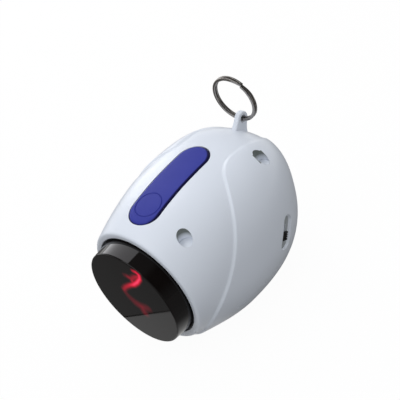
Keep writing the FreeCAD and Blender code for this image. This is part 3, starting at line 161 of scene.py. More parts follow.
class Finish:
    """The nodes of a material in the making, or of the world."""

    def __init__(self, owner):
        owner.use_nodes = True
        self.owner = owner
        self.tree = owner.node_tree
        self.tree.nodes.clear()

    def node(self, kind, settings=None, sockets=None, output=0):
        """Any node, from its settings and the values or links of its sockets."""
        made = self.tree.nodes.new(kind)
        for name, value in (settings or {}).items():
            if name == "stops":
                self.set_stops(made.color_ramp, value)
            else:
                setattr(made, name, value)
        for name, value in (sockets or {}).items():
            if isinstance(value, Value):
                self.tree.links.new(value.socket, made.inputs[name])
            else:
                made.inputs[name].default_value = value
        return Value(self, made.outputs[output])

    def set_stops(self, ramp, stops):
        """The colours of a colour ramp, each with its place."""
        while len(ramp.elements) < len(stops):
            ramp.elements.new(1.0)
        for element, (place, colour) in zip(ramp.elements, stops):
            element.position = place
            element.color = colour

    def place(self):
        """Where a point is in the object's own frame, in metres."""
        return self.node("ShaderNodeTexCoord", output=3)

    def axis(self, place, letter):
        """One coordinate of a place."""
        return self.node("ShaderNodeSeparateXYZ", None, {"Vector": place}, "XYZ".index(letter))

    def attribute(self, name):
        """A number that the piece's own mesh carries."""
        return self.node("ShaderNodeAttribute", {"attribute_name": name}, None, 2)

    def noise(self, scale, detail=2.0, roughness=0.5, place=None):
        """Soft noise from 0 to 1; scale is in bumps per metre."""
        sockets = {"Vector": place or self.place(), "Scale": scale, "Detail": detail,
                   "Roughness": roughness}
        return self.node("ShaderNodeTexNoise", None, sockets)

    def mixed(self, share, first, second):
        """A colour between two colours."""
        return self.node("ShaderNodeMix", {"data_type": "RGBA"},
                         {"Factor": share, 6: first, 7: second}, output=2)

    def bump(self, height, depth, edge=0.0):
        """A normal from a height of 0 to 1 that stands for a depth in metres."""
        sockets = {"Height": height, "Distance": depth, "Strength": 1.0}
        if edge:
            sockets["Normal"] = self.node("ShaderNodeBevel", {"samples": 6}, {"Radius": edge})
        return self.node("ShaderNodeBump", None, sockets)

    def done(self, **sockets):
        """The finished material, from the sockets of its surface; _ stands for a space."""
        named = {name.replace("_", " "): value for name, value in sockets.items()}
        self.show(self.node("ShaderNodeBsdfPrincipled", None, named))
        return self.owner

    def show(self, shader, kind="ShaderNodeOutputMaterial"):
        """Joins a shader to the output."""
        output = self.tree.nodes.new(kind)
        self.tree.links.new(shader.socket, output.inputs["Surface"])


def new_finish(name):
    """The empty nodes of a new material."""
    return Finish(bpy.data.materials.new(name))


def colour(red, green, blue):
    """A colour from its sRGB parts, 0 to 255, as shaders want it."""
    parts = []
    for part in (red, green, blue):
        share = part / 255
        parts.append(share / 12.92 if share <= 0.04045 else ((share + 0.055) / 1.055) ** 2.4)
    return (*parts, 1.0)


print("shader helpers ready")


# %% [markdown]
# ## Floor, world and lamps
#
# The camera sees the floor and the world as plain white, and plain plastic gets level light
# from the air all round. Gloss sees a studio of its own: a world that is white at the horizon
# and dark overhead, with a dark board at the right, and on the floor a dark mat round the
# pointer, as a photographer lays one. They give white plastic, steel and the smoked window
# their dark edges. A small pale sheet under the window ends in a straight edge with a thin
# dark line, which the window mirrors. A share of ordinary diffuse white stays in the floor,
# so it keeps a faint shadow under the case.

# %% Floor
FLOOR_SIZE, FLOOR_DROP = 3.0, 0.05 * MM
FLOOR_WHITENESS, PAPER_WHITE, FLOOR_BOUNCE = 0.96, 0.95, 0.2
MAT_LEVEL, MAT_END = 0.2, 0.26
BOARD_LEVEL, BOARD_AT = 0.15, 0.2
SHEET_LEVEL, SHEET_MIDDLE, SHEET_REACH = 0.62, (-0.015, -0.06), 0.045
SHEET_EDGE, SHEET_SLANT = -0.0639, math.radians(53.3)
LINE_CORE, LINE_HALF, LINE_DARKNESS = 0.2 * MM, 0.6 * MM, 0.9
FADE = 1.5


def kinds_of_ray(finish):
    """Whether a place is seen directly or through something clear, and whether in gloss."""
    seen, through, glossy = [finish.node("ShaderNodeLightPath", output=f"Is {kind} Ray")
                             for kind in ("Camera", "Transmission", "Glossy")]
    direct = seen.larger(through)
    return direct, glossy * (1.0 - direct)


def floor_in_gloss(finish):
    """How bright the floor shows in gloss: a pale sheet, a dark mat round it, white beyond."""
    place = finish.place()
    x, y = finish.axis(place, "X"), finish.axis(place, "Y")
    off_x, off_y = x - SHEET_MIDDLE[0], y - SHEET_MIDDLE[1]
    away = (off_x * off_x + off_y * off_y) ** 0.5
    across = x * math.cos(SHEET_SLANT) + y * math.sin(SHEET_SLANT) - SHEET_EDGE
    sheet = across.ramp(LINE_CORE, LINE_HALF) * (1.0 - away.ramp(SHEET_REACH, FADE * SHEET_REACH))
    line = 1.0 - across.absolute().ramp(LINE_CORE, LINE_HALF)
    beyond = away.ramp(MAT_END, FADE * MAT_END) * (1.0 - x.ramp(BOARD_AT, FADE * BOARD_AT))
    level = sheet * (SHEET_LEVEL - MAT_LEVEL) + beyond * (1.0 - MAT_LEVEL) + MAT_LEVEL
    return level * (1.0 - line * LINE_DARKNESS)


bpy.ops.mesh.primitive_plane_add(size=FLOOR_SIZE, location=(0, 0, -FLOOR_DROP))
floor = bpy.context.object
floor.name = "floor"
floor_finish = new_finish("floor_white")
direct, gloss = kinds_of_ray(floor_finish)
paper_level = direct * (PAPER_WHITE - FLOOR_BOUNCE) + FLOOR_BOUNCE
paper = floor_finish.node("ShaderNodeBsdfDiffuse", None, {"Color": paper_level})
shine = floor_finish.node("ShaderNodeEmission", None,
                          {"Strength": direct + gloss * floor_in_gloss(floor_finish)})
floor_finish.show(floor_finish.node(
    "ShaderNodeMixShader", None, {0: direct.larger(gloss) * FLOOR_WHITENESS, 1: paper, 2: shine}))
floor.data.materials.append(floor_finish.owner)
print("floor", FLOOR_SIZE, "m wide, under the pointer by", FLOOR_DROP / MM, "mm")

# %% World
AIR_LEVEL, AIR_TINT, WHITE = 0.715, (0.96, 0.98, 1.0, 1), (1.0, 1.0, 1.0, 1)
OVERHEAD, OVERHEAD_DARKNESS = 0.5, 0.88
BOARD_STARTS, BOARD_FULL = 0.35, 0.6

world = bpy.data.worlds.new("studio")
bpy.context.scene.world = world
air = Finish(world)
direct, gloss = kinds_of_ray(air)
facing = air.node("ShaderNodeTexCoord")
right, height = air.axis(facing, "X"), air.axis(facing, "Z")
gloss_level = 1.0 - height.ramp(0.0, OVERHEAD) * OVERHEAD_DARKNESS
gloss_level = gloss_level * (1.0 - right.ramp(BOARD_STARTS, BOARD_FULL) * (1.0 - BOARD_LEVEL))
strength = direct + gloss * gloss_level + (1.0 - direct.larger(gloss)) * AIR_LEVEL
tint = air.mixed(direct, AIR_TINT, WHITE)
air.show(air.node("ShaderNodeBackground", None, {"Color": tint, "Strength": strength}),
         "ShaderNodeOutputWorld")
print("world", world.name, "with air at level", AIR_LEVEL)

# %% [markdown]
# Two soft lamps shape the pointer. A tall narrow one behind it at the left gives the case and
# the button their long highlights, and a broad one high in front fills in the rest.

# %% Lamps
LAMP_AIM = Vector((0, 0, 35 * MM))


def soft_lamp(name, place, width, height, power, tint):
    """A soft lamp with upright sides that looks at the middle of the pointer."""
    bpy.ops.object.light_add(type="AREA", location=place)
    lamp = bpy.context.object
    lamp.name = name
    lamp.data.shape = "RECTANGLE"
    lamp.data.size, lamp.data.size_y = width, height
    lamp.data.energy = power
    lamp.data.color = tint
    lamp.rotation_mode = "QUATERNION"
    lamp.rotation_quaternion = (LAMP_AIM - Vector(place)).to_track_quat("-Z", "Y")
    return lamp


key = soft_lamp("key", place=(-0.58, 0.23, 0.53), width=0.26, height=1.15, power=1.8,
                tint=(0.97, 0.96, 1.0))
front = soft_lamp("front", place=(-0.10, -0.55, 0.88), width=0.8, height=0.8, power=2.05,
                  tint=(0.94, 0.97, 1.0))
print("lamps", key.name, front.name)


# %% [markdown]
# ## Finishes
#
# Each finish has what the real one shows from a step away. Moulded plastic is never quite
# even, so its colour and gloss drift a little and its skin has a faint grain, with softened
# edges. The wells and the switch recess get painted shade, by a share that the case's own
# mesh carries. The button's rim gets painted shade too, a dark line that is wider on the side
# away from the lamps.

# %% Plastics
EDGE, KNOB_EDGE = 0.25 * MM, 0.15 * MM
GLOSS_DRIFT, GLOSS_GRAIN = 0.08, 0.04
BUTTON_DRIFT, BUTTON_GRAIN, BUTTON_GLOSS = 0.06, 0.04, 0.42


def moulded(name, base, drift, gloss, grain, edge=EDGE, coat=0.0, recess=None, **more):
    """Moulded plastic: its colour and gloss drift a little, over a faint grain; recess is the colour of
    painted shade, where the mesh carries a share of it.
    """
    finish = new_finish(name)
    cloud = finish.noise(60.0, detail=3.0)
    fine = finish.noise(5200.0)
    other = tuple(part * (1 - drift) for part in base[:3]) + (1.0,)
    skin = finish.mixed(cloud, base, other)
    # painted shade: the skin turns towards the recess colour by the share that the mesh carries
    if recess:
        skin = finish.mixed(finish.attribute("recess_share").clamped() ** 2.0, skin, recess)
    least = gloss - (GLOSS_DRIFT + GLOSS_GRAIN) / 2
    return finish.done(Base_Color=skin, Roughness=cloud * GLOSS_DRIFT + fine * GLOSS_GRAIN + least,
                       Normal=finish.bump(fine, grain, edge), Coat_Weight=coat, **more)


def button_plastic():
    """Blue plastic, with painted shade that deepens the blue at its rim."""
    finish = new_finish("button_plastic")
    cloud = finish.noise(90.0, detail=3.0)
    fine = finish.noise(4200.0)
    middle = finish.mixed(cloud, colour(54, 61, 159), colour(48, 55, 151))
    # painted shade: the blue deepens towards navy at the rim, by the share that the mesh carries
    blue = finish.mixed(finish.attribute("edge_share"), middle, colour(16, 12, 66))
    gloss = cloud * BUTTON_DRIFT + fine * BUTTON_GRAIN + BUTTON_GLOSS
    return finish.done(Base_Color=blue, Roughness=gloss, Normal=finish.bump(fine, 0.004 * MM),
                       Specular_IOR_Level=0.22)


FINISHES = {
    # the white shell's recess colour is the painted shade of the wells and the switch recess
    "white_shell": moulded("white_shell", colour(231, 236, 245), 0.015, 0.33, 0.006 * MM,
                           coat=0.2, recess=colour(112, 118, 114), Coat_Roughness=0.2),
    "blue_button": button_plastic(),
    "black_knob": moulded("black_knob", colour(14, 14, 15), 0.25, 0.5, 0.02 * MM, KNOB_EDGE,
                          Specular_IOR_Level=0.2),
    "grey_plastic": moulded("grey_plastic", colour(120, 124, 130), 0.08, 0.46, 0.015 * MM),
    "natural_plastic": moulded("natural_plastic", colour(228, 224, 210), 0.06, 0.4, 0.01 * MM),
}
print("plastics", *FINISHES)


# %% [markdown]
# The window is smoked plastic, dark enough to hide the drive. The laser's light, thrown about
# by the tilted mirror, glows through it as a red hook with a fading tail. The glow is painted
# by the distance from chains of soft strokes, with a brightness and a width at each place. The
# flat face is left plain and the side is polished brighter, by a clear coat there alone.

# %% Smoked window with its glow
GLOW_CHAINS = (
    # each place on a chain: x and z in millimetres, brightness, half width in millimetres
    ((8.7, 55.7, 0.5, 1.8), (10.5, 55.7, 0.75, 1.9), (12.0, 54.7, 0.85, 2.0), (11.3, 52.1, 0.95, 2.1),
     (8.3, 48.6, 1.0, 2.2), (5.0, 45.8, 0.92, 2.3), (1.6, 43.8, 0.62, 2.2), (-1.9, 41.2, 0.5, 2.3),
     (-4.1, 38.7, 0.4, 2.4), (-3.8, 36.8, 0.2, 2.6), (-2.1, 34.5, 0.16, 3.4), (0.7, 32.4, 0.24, 4.0),
     (4.1, 31.5, 0.31, 4.2), (8.3, 32.8, 0.2, 3.4)),
    ((11.2, 53.3, 0.6, 1.8), (8.5, 51.9, 0.46, 2.6), (5.4, 49.4, 0.44, 2.8), (3.1, 49.8, 0.34, 2.4),
     (1.4, 49.8, 0.14, 2.2)),
    ((5.4, 49.4, 0.44, 2.8), (5.3, 46.9, 0.6, 2.4)),
    ((4.1, 31.5, 0.31, 4.0), (4.4, 27.8, 0.26, 3.4)),
)
CAP_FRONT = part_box("window_cap")[0].y
FACE_DEPTH, SIDE_DEPTH = 0.1 * MM, 0.3 * MM


def stroke(x, z, start, end):
    """Brightness along one soft stroke between two places of a chain."""
    along_x, along_z = end[0] - start[0], end[1] - start[1]
    length = math.hypot(along_x, along_z)
    across_x, across_z = x - start[0], z - start[1]
    share = (across_x * (along_x / length ** 2) + across_z * (along_z / length ** 2)).clamped()
    off_x, off_z = across_x - share * along_x, across_z - share * along_z
    off = (off_x * off_x + off_z * off_z) ** 0.5
    width = share * (end[3] - start[3]) + start[3]
    fall = 1.0 - (off / width).ramp(0.0, 1.0)
    return fall * (share * (end[2] - start[2]) + start[2])


def on_face(finish):
    """1 on the window's flat face and 0 on its side."""
    y = finish.axis(finish.place(), "Y")
    return 1.0 - y.ramp(CAP_FRONT + FACE_DEPTH, CAP_FRONT + SIDE_DEPTH)


def glow(finish):
    """Brightness of the laser's light on the window, from 0 to 1."""
    place = finish.place()
    x, z = finish.axis(place, "X") * (1 / MM), finish.axis(place, "Z") * (1 / MM)
    total = None
    for chain in GLOW_CHAINS:
        for start, end in zip(chain, chain[1:]):
            one = stroke(x, z, start, end)
            total = one if total is None else total.larger(one)
    return total * on_face(finish)


def smoked_window():
    """Near-black glossy plastic with the laser's glow."""
    finish = new_finish("smoked_window")
    light = glow(finish)
    cloud = finish.noise(70.0)
    fine = finish.noise(3000.0)
    stops = [(0.0, (0, 0, 0, 1)), (0.25, colour(88, 4, 20)), (0.55, colour(170, 10, 38)),
             (0.8, colour(226, 26, 64)), (1.0, colour(250, 62, 102))]
    red = finish.node("ShaderNodeValToRGB", {"stops": stops}, {"Fac": light})
    base = finish.mixed(cloud, colour(17, 13, 12), colour(13, 10, 9))
    return finish.done(Base_Color=base, Roughness=cloud * 0.02 + 0.05, Emission_Color=red,
                       Emission_Strength=1.0, IOR=1.46, Specular_IOR_Level=0.2,
                       Coat_Weight=(1.0 - on_face(finish)) * 0.35, Coat_Roughness=0.04,
                       Normal=finish.bump(fine, 0.0008 * MM, 0.35 * MM))


FINISHES["dark_window"] = smoked_window()
print("glow painted with", sum(len(chain) - 1 for chain in GLOW_CHAINS), "strokes")


# %% [markdown]
# Steel, nickel and brass are drawn or turned, which leaves fine lines along one axis. Noise
# that is stretched along that axis gives them, in colour, gloss and height together.

# %% Metals
METAL_EDGE, LINE_DEPTH = 0.12 * MM, 0.004 * MM
METALS = {
    # each slot's colour, colour of the lines, gloss, lines per metre and stretch along x, y and z
    "ring_steel": (colour(196, 190, 184), colour(82, 79, 76), 0.06, 900.0, (1.0, 1.0, 6.0)),
    "screw_steel": (colour(168, 168, 170), colour(110, 110, 114), 0.26, 1500.0, (1.0, 1.0, 0.1)),
    "switch_metal": (colour(124, 127, 123), colour(92, 95, 91), 0.34, 1100.0, (0.2, 1.0, 1.0)),
    "contact_nickel": (colour(196, 192, 184), colour(150, 146, 138), 0.22, 1300.0, (1.0, 0.2, 1.0)),
    "motor_can": (colour(172, 172, 170), colour(126, 126, 126), 0.24, 800.0, (1.0, 0.15, 0.15)),
    "brass": (colour(206, 168, 96), colour(160, 122, 58), 0.24, 1200.0, (1.0, 1.0, 0.3)),
}


def drawn_metal(name, base, dark, gloss, lines, stretch):
    """Metal with fine drawn lines along one axis."""
    finish = new_finish(name)
    turned = finish.node("ShaderNodeMapping", None, {"Vector": finish.place(), "Scale": stretch})
    line = finish.noise(lines, 3.0, 0.6, turned)
    cloud = finish.noise(140.0)
    return finish.done(Base_Color=finish.mixed(line, base, dark), Metallic=1.0,
                       Roughness=line * 0.10 + cloud * 0.06 + gloss,
                       Normal=finish.bump(line, LINE_DEPTH, METAL_EDGE))


for metal, look in METALS.items():
    FINISHES[metal] = drawn_metal(metal, *look)
print("metals", *METALS)


# %% [markdown]
# Inside are green boards with tracks and tinned spots, cells in a plain jacket between bright
# steel ends, the silvered mirror and the clear lens of the laser. They show when the cover or
# the shell is off.

# %% Circuit board, cells, glass
CELL_END, CELL_STEP = 1.5 * MM, 0.2 * MM
BAND_AT, BAND_HALF, BAND_SOFT = 9.0 * MM, 6.0 * MM, 0.1 * MM


def board():
    """Green solder mask with tracks and tinned spots."""
    finish = new_finish("board")
    place = finish.place()
    tracks = finish.node("ShaderNodeTexBrick", {"offset": 0.37},
                         {"Vector": place, "Scale": 260.0, "Mortar Size": 0.035, "Color1": (0, 0, 0, 1),
                          "Color2": (0.2, 0.2, 0.2, 1), "Mortar": (1, 1, 1, 1)}, 1)
    dots = finish.node("ShaderNodeTexVoronoi", None, {"Vector": place, "Scale": 330.0})
    dot = 1.0 - dots.ramp(0.16, 0.2)
    green = finish.mixed(tracks, colour(16, 92, 48), colour(40, 128, 66))
    return finish.done(Base_Color=finish.mixed(dot, green, colour(196, 198, 192)),
                       Metallic=dot * 0.9, Roughness=0.42 - dot * 0.12,
                       Normal=finish.bump(tracks.larger(dot), 0.03 * MM))


def cell_jacket():
    """Plain cell: a grey-green jacket with a pale band, between bright steel ends."""
    finish = new_finish("cell_jacket")
    low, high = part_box("battery_cells")
    off = finish.axis(finish.place(), "Y") - (low.y + high.y) / 2
    end_at = (high.y - low.y) / 2 - CELL_END
    end = off.absolute().ramp(end_at - CELL_STEP, end_at)
    band = (off - BAND_AT).absolute().ramp(BAND_HALF, BAND_HALF + BAND_SOFT)
    jacket = finish.mixed(band, colour(176, 182, 184), colour(52, 92, 84))
    fine = finish.noise(2600.0)
    return finish.done(Base_Color=finish.mixed(end, jacket, colour(205, 205, 203)),
                       Metallic=end * 0.95, Roughness=fine * 0.1 + 0.26,
                       Normal=finish.bump(fine, 0.006 * MM, 0.2 * MM))


def mirror_glass():
    """Front-silvered glass."""
    finish = new_finish("mirror_glass")
    cloud = finish.noise(300.0)
    return finish.done(Base_Color=finish.mixed(cloud, (0.93, 0.94, 0.95, 1), (0.88, 0.9, 0.92, 1)),
                       Metallic=1.0, Roughness=cloud * 0.02 + 0.02)


def clear_lens():
    """Clear lens in front of the laser."""
    finish = new_finish("clear_lens")
    cloud = finish.noise(400.0)
    return finish.done(Base_Color=finish.mixed(cloud, WHITE, (0.92, 0.96, 1.0, 1)),
                       Roughness=cloud * 0.03 + 0.02, IOR=1.49, Transmission_Weight=0.9)


FINISHES.update(board_green=board(), cell_jacket=cell_jacket(), mirror_glass=mirror_glass(),
                clear_lens=clear_lens())
print("finishes", len(FINISHES))


# %% [markdown]
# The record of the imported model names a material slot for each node. Every slot has its finish
# now, so one loop dresses all nodes.

# %% Finish of each node
def give_finish(piece, slot):
    """Puts a slot's finish on a piece."""
    piece.data.materials.clear()
    piece.data.materials.append(FINISHES[slot])


slot_of_node = {part["node"]: part["material_slot"] for part in frame["record"]["subparts"]}
for node_name, node in nodes.items():
    give_finish(node, slot_of_node[node_name])
print("nodes dressed", len(nodes))

# %% [markdown]
# ## Handling pieces
#
# A few steps come back for every piece: select only that piece, cut it with another or join
# one on, close its holes, smooth it. They are the operators that a maker would use by hand.

# %% Helpers for modelling
MERGE = 0.002 * MM


def only(*pieces):
    """Selects just these pieces; the first becomes the active one."""
    bpy.ops.object.select_all(action="DESELECT")
    for piece in pieces:
        piece.select_set(True)
    bpy.context.view_layer.objects.active = pieces[0]


def place_in_mesh(piece):
    """Moves a piece's place, turn and scale into its mesh."""
    only(piece)
    bpy.ops.object.transform_apply(location=True, rotation=True, scale=True)
    return piece


def modify(piece, kind, **settings):
    """Adds a modifier with its settings and applies it."""
    only(piece)
    bpy.ops.object.modifier_add(type=kind)
    step = piece.modifiers[-1]
    for name, value in settings.items():
        setattr(step, name, value)
    bpy.ops.object.modifier_apply(modifier=step.name)


def carve(piece, cutter, operation="DIFFERENCE"):
    """Cuts a piece with another one, or joins it on; the other one is used up."""
    modify(piece, "BOOLEAN", operation=operation, solver="EXACT", object=cutter)
    bpy.data.objects.remove(cutter)


def tidy_mesh(piece):
    """Merges doubles and turns all faces outwards."""
    only(piece)
    bpy.ops.object.mode_set(mode="EDIT")
    bpy.ops.mesh.select_all(action="SELECT")
    bpy.ops.mesh.remove_doubles(threshold=MERGE)
    bpy.ops.mesh.normals_make_consistent(inside=False)
    bpy.ops.object.mode_set(mode="OBJECT")
    return piece


def close_holes(piece):
    """Fills every open end of a tidy mesh."""
    only(piece)
    bpy.ops.object.mode_set(mode="EDIT")
    bpy.ops.mesh.select_all(action="DESELECT")
    bpy.ops.mesh.select_non_manifold()
    bpy.ops.mesh.edge_face_add()
    bpy.ops.mesh.select_all(action="SELECT")
    bpy.ops.mesh.normals_make_consistent(inside=False)
    bpy.ops.object.mode_set(mode="OBJECT")


def smooth(piece, angle):
    """Smooth shading, with edges sharper than an angle kept crisp."""
    only(piece)
    bpy.ops.object.shade_smooth_by_angle(angle=math.radians(angle))


def finished(piece, slot, body, *replaced):
    """Names a piece's finish, body and the nodes that it stands for."""
    give_finish(piece, slot)
    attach(piece, body)
    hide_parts(*replaced)
    print(piece.name, "has", len(piece.data.polygons), "faces")


def net(name, points):
    """A mesh through a net of points, rows by columns, shaped from a flat grid."""
    rows, columns = points.shape[:2]
    bpy.ops.mesh.primitive_grid_add(x_subdivisions=columns - 1, y_subdivisions=rows - 1, size=1)
    piece = bpy.context.object
    piece.name = name
    for vertex in piece.data.vertices:
        column = round((vertex.co.x + 0.5) * (columns - 1))
        row = round((vertex.co.y + 0.5) * (rows - 1))
        vertex.co = points[row, column]
    piece.data.update()
    return piece


def round_bar(name, radius, place, low, high, sides):
    """An upright round bar between two heights."""
    middle = (place[0], place[1], (low + high) / 2)
    bpy.ops.mesh.primitive_cylinder_add(vertices=sides, radius=radius, depth=high - low,
                                        location=middle)
    bpy.context.object.name = name
    return place_in_mesh(bpy.context.object)


print("helpers for modelling ready")


# %% [markdown]
# ## The egg
#
# The case is an egg with a round mouth. Its half size to the side, to the top and to the rest
# side swells from the mouth to a peak and rounds off to the tail, and its section is a circle
# in front and squarer behind. The same formulas made the construction, so a surface built
# from them here lies on it everywhere. They work on whole arrays, which is quick.

# %% Formulas of the egg
LENGTH = 91.0 * MM
AXIS = 34.5 * MM
MOUTH = 29.5 * MM
# three half sizes at their peaks, how far behind the mouth they peak, and how fast they fall
SIDE, SIDE_AT, SIDE_FALL = 33.7 * MM, 35.8 * MM, 1.88
TOP, TOP_AT, TOP_FALL = 36.9 * MM, 53.8 * MM, 2.51
REST, REST_AT, REST_FALL = 37.4 * MM, 48.0 * MM, 2.33
TAIL_BLUNT, TAIL_ROUND = 2.29, 2.21
SQUARE, SQUARE_AT = 2.54, 30.0 * MM
WALL, FRONT_WALL = 2.2 * MM, 2.6 * MM
OPENING = 26.6 * MM
LIP_ROUND = 1.5 * MM
RISE = 0.9 * MM
SEAM = 15.5 * MM
CAP_REACH = 8.4 * MM
FRONT = CAP_FRONT + CAP_REACH


def swell(distance, peak, front, peak_at, fall, tail):
    """Half size of the egg at a distance behind the mouth."""
    before = np.clip((peak_at - distance) / peak_at, 0, None)
    behind = np.clip((distance - peak_at) / (tail - peak_at), 0, 1)
    rounded = peak * (1 - behind ** TAIL_BLUNT) ** (1 / TAIL_ROUND)
    return np.where(distance < peak_at, peak - (peak - front) * before ** fall, rounded)


def half_sizes(distance, grow):
    """Side, top and rest half sizes of the egg, grown all over."""
    front, tail = MOUTH + grow, LENGTH + grow
    return (swell(distance, SIDE + grow, front, SIDE_AT, SIDE_FALL, tail),
            swell(distance, TOP + grow, front, TOP_AT, TOP_FALL, tail),
            swell(distance, REST + grow, front, REST_AT, REST_FALL, tail))


def squareness(distance):
    """Power of the section, 2 for a circle."""
    return 2 + (SQUARE - 2) * np.clip(distance / SQUARE_AT, 0, 1)


def reach(distance, turn, grow):
    """How far the egg reaches from its axis at a distance, in the direction of a turn."""
    side, top, rest = half_sizes(distance, grow)
    power = squareness(distance)
    across, up = np.abs(np.cos(turn)), np.sin(turn)
    height = np.where(up >= 0, top, rest)
    tiny = 1e-9
    total = (across / (side + tiny)) ** power + (np.abs(up) / (height + tiny)) ** power
    return total ** (-1 / power)


def on_egg(distance, turn, grow):
    """Places on the egg as an array of x, y, z."""
    far = reach(distance, turn, grow)
    return np.stack([far * np.cos(turn), FRONT + distance + 0 * turn, AXIS + far * np.sin(turn)], -1)


def roof(x, y, grow):
    """Height of the egg's top over a place."""
    side, top, rest = half_sizes(y - FRONT, grow)
    power = squareness(y - FRONT)
    return AXIS + top * (1 - np.abs(x / side) ** power) ** (1 / power)


print("egg peaks", round(float(half_sizes(SIDE_AT, 0)[0] / MM), 2), "mm to the side")


# %% [markdown]
# ## The edge of the raised side panel
#
# Two panels wrap the sides and stand 0.9 mm proud of the band that runs over the top. Their
# edge is one long S. Seen square to the case's upper right corner it is a smooth line through
# a few points, and a natural spline draws it. The slope between band and panel is narrow in
# front and grows softer to the rear, and at the tail the rise closes all round.

# %% The S-shaped edge
EDGE_ACROSS = np.array([36.0, 30.6, 26.3, 18.2, 8.0, -4.6, -11.2, -14.3, -14.4, -12.1, -8.2]) * MM
EDGE_BEHIND = np.array([-6.0, 5.4, 13.3, 23.8, 32.0, 40.6, 46.0, 51.5, 62.0, 74.0, 97.0]) * MM
STEP_WIDTH, SOFT_FROM, SOFTENING = 1.6 * MM, 46 * MM, 0.06
CLOSE_FROM, CLOSE_END = 85.6 * MM, 89.2 * MM
EDGE_FROM, EDGE_TO, EDGE_PLACES, TURNS_TRIED = 4.2 * MM, 89.0 * MM, 900, 700
CORNER = math.radians(-45)
STEEPEST = math.radians(80)


def spline(where, places, values):
    """A natural spline through values at places."""
    gap = np.diff(places)
    slope = np.diff(values) / gap
    count = len(places)
    matrix, right = np.eye(count), np.zeros(count)
    for i in range(1, count - 1):
        matrix[i, i - 1:i + 2] = gap[i - 1], 2 * (gap[i - 1] + gap[i]), gap[i]
        right[i] = 6 * (slope[i] - slope[i - 1])
    bend = np.linalg.solve(matrix, right)
    i = np.clip(np.searchsorted(places, where) - 1, 0, count - 2)
    after, before, h = where - places[i], places[i + 1] - where, gap[i]
    curve = (bend[i] * before ** 3 + bend[i + 1] * after ** 3) / (6 * h)
    line = (values[i] / h - bend[i] * h / 6) * before + (values[i + 1] / h - bend[i + 1] * h / 6) * after
    return curve + line


def edge_turn(distance):
    """Direction from the axis to the panel's edge, at each distance."""
    across = spline(distance, EDGE_BEHIND, EDGE_ACROSS)
    turns = np.linspace(CORNER, math.pi / 2, TURNS_TRIED)
    found = []
    for d, u in zip(distance, across):
        view = reach(np.full_like(turns, d), turns, RISE / 2) * np.cos(turns - CORNER)
        found.append(np.interp(-u, -view, turns))
    return np.array(found)


edge_distances = np.linspace(EDGE_FROM, EDGE_TO, EDGE_PLACES)
edge_turns = edge_turn(edge_distances)
edge_line = on_egg(edge_distances, edge_turns, 0)
print("panel edge drawn with", len(edge_line), "places")

# %% [markdown]
# ## The blank of the case
#
# The outside of the case is one net of quads. Its columns follow the panel's edge, closely
# spaced on both sides of it, so the step between band and panel is a clean rounded slope. Its
# rows start inside the mouth, run over the rounded lip and end in the tail. One half is
# built and mirrored, and the top shell is cut from the whole.

# %% Rows and columns of the blank
LIP_ROWS = np.arange(2.2, 3.9, 0.8)
CLOSE_ROWS = np.arange(4.0, 7.0, 0.22)
EVEN_ROWS = np.arange(7.2, 53.0, 1.1)
TAIL_FROM, TAIL_ROWS = 53.4, 62
BELOW_COLUMNS, ABOVE_COLUMNS = 40, 50
BAND_PLACES = np.array([-1.0, -0.72, -0.54, -0.38, -0.22, -0.07, 0.08, 0.24, 0.4, 0.58, 0.85]) * MM
BAND_LIMIT, MOST_STRETCH, LEAST_REACH = math.radians(87), 2.2, 4 * MM


def side_rows():
    """Distances of the rows behind the lip: close at the panel's start, even, then by angle."""
    angle = np.linspace(0, math.pi / 2, TAIL_ROWS)
    tail = TAIL_FROM + (LENGTH / MM - TAIL_FROM) * np.sin(angle)
    return np.concatenate([LIP_ROWS, CLOSE_ROWS, EVEN_ROWS, tail]) * MM


def row_turns(distance):
    """Directions of all columns at each distance; rows by columns."""
    middle = np.clip(np.interp(distance, edge_distances, edge_turns), CORNER, STEEPEST)
    far = reach(distance, middle, 0)
    slant = np.gradient(middle, distance) * far
    stretch = np.minimum(np.sqrt(1 + slant ** 2), MOST_STRETCH)
    scale = stretch / np.maximum(far, LEAST_REACH)
    scale = np.minimum(scale, (BAND_LIMIT - middle) / BAND_PLACES[-1])
    rows = []
    for m, s in zip(middle, scale):
        band = m + BAND_PLACES * s
        below = np.linspace(-math.pi / 2, band[0], BELOW_COLUMNS, endpoint=False)
        above = np.linspace(band[-1], math.pi / 2, ABOVE_COLUMNS + 1)[1:]
        rows.append(np.concatenate([below, band, above]))
    return np.array(rows)


def smooth_step(share):
    """From 0 to 1 with a level start and end."""
    share = np.clip(share, 0, 1)
    return share * share * (3 - 2 * share)


def rise_at(points, distance, turns):
    """How far each place is raised, from its distance to the panel's edge; all of it at the tail."""
    flat = points.reshape(-1, 3)
    nearest = np.full(len(flat), 1.0)
    for start in range(0, len(edge_line), 100):
        part = edge_line[start:start + 100]
        gap = np.linalg.norm(flat[:, None, :] - part[None, :, :], axis=2)
        nearest = np.minimum(nearest, gap.min(axis=1))
    nearest = nearest.reshape(turns.shape)
    edge = np.interp(distance, edge_distances, edge_turns, left=CORNER)
    inside = (turns < edge) & (distance > EDGE_FROM)
    front_edge = np.minimum(nearest, np.abs(distance - EDGE_FROM))
    nearest = np.where(turns < CORNER, front_edge, nearest)
    signed = np.where(inside, nearest, -nearest)
    width = STEP_WIDTH + np.clip(distance - SOFT_FROM, 0, None) * SOFTENING
    share = smooth_step(signed / width + 0.5)
    closed = smooth_step((distance - CLOSE_FROM) / (CLOSE_END - CLOSE_FROM))
    return RISE * (1 - (1 - share) * (1 - closed))


print("blank has", len(side_rows()), "rows behind the lip")

# %% [markdown]
# The lip has rows of its own. They start inside the mouth, turn round its inner corner and run
# over the rounded lip, until they lean as the egg's side does. The rows of the side follow, each
# place raised by its share of the panel, and the last row is the tail's one point.

# %% Lip, side and tail of the blank
INNER_ROUND, LIP_STEP = 0.5 * MM, 0.5 * MM
MOUTH_DEPTHS = (FRONT_WALL + 0.6 * MM, 1.6 * MM, INNER_ROUND)
TAIL_SHARE, TAIL_GROWTH = 0.9995, 8


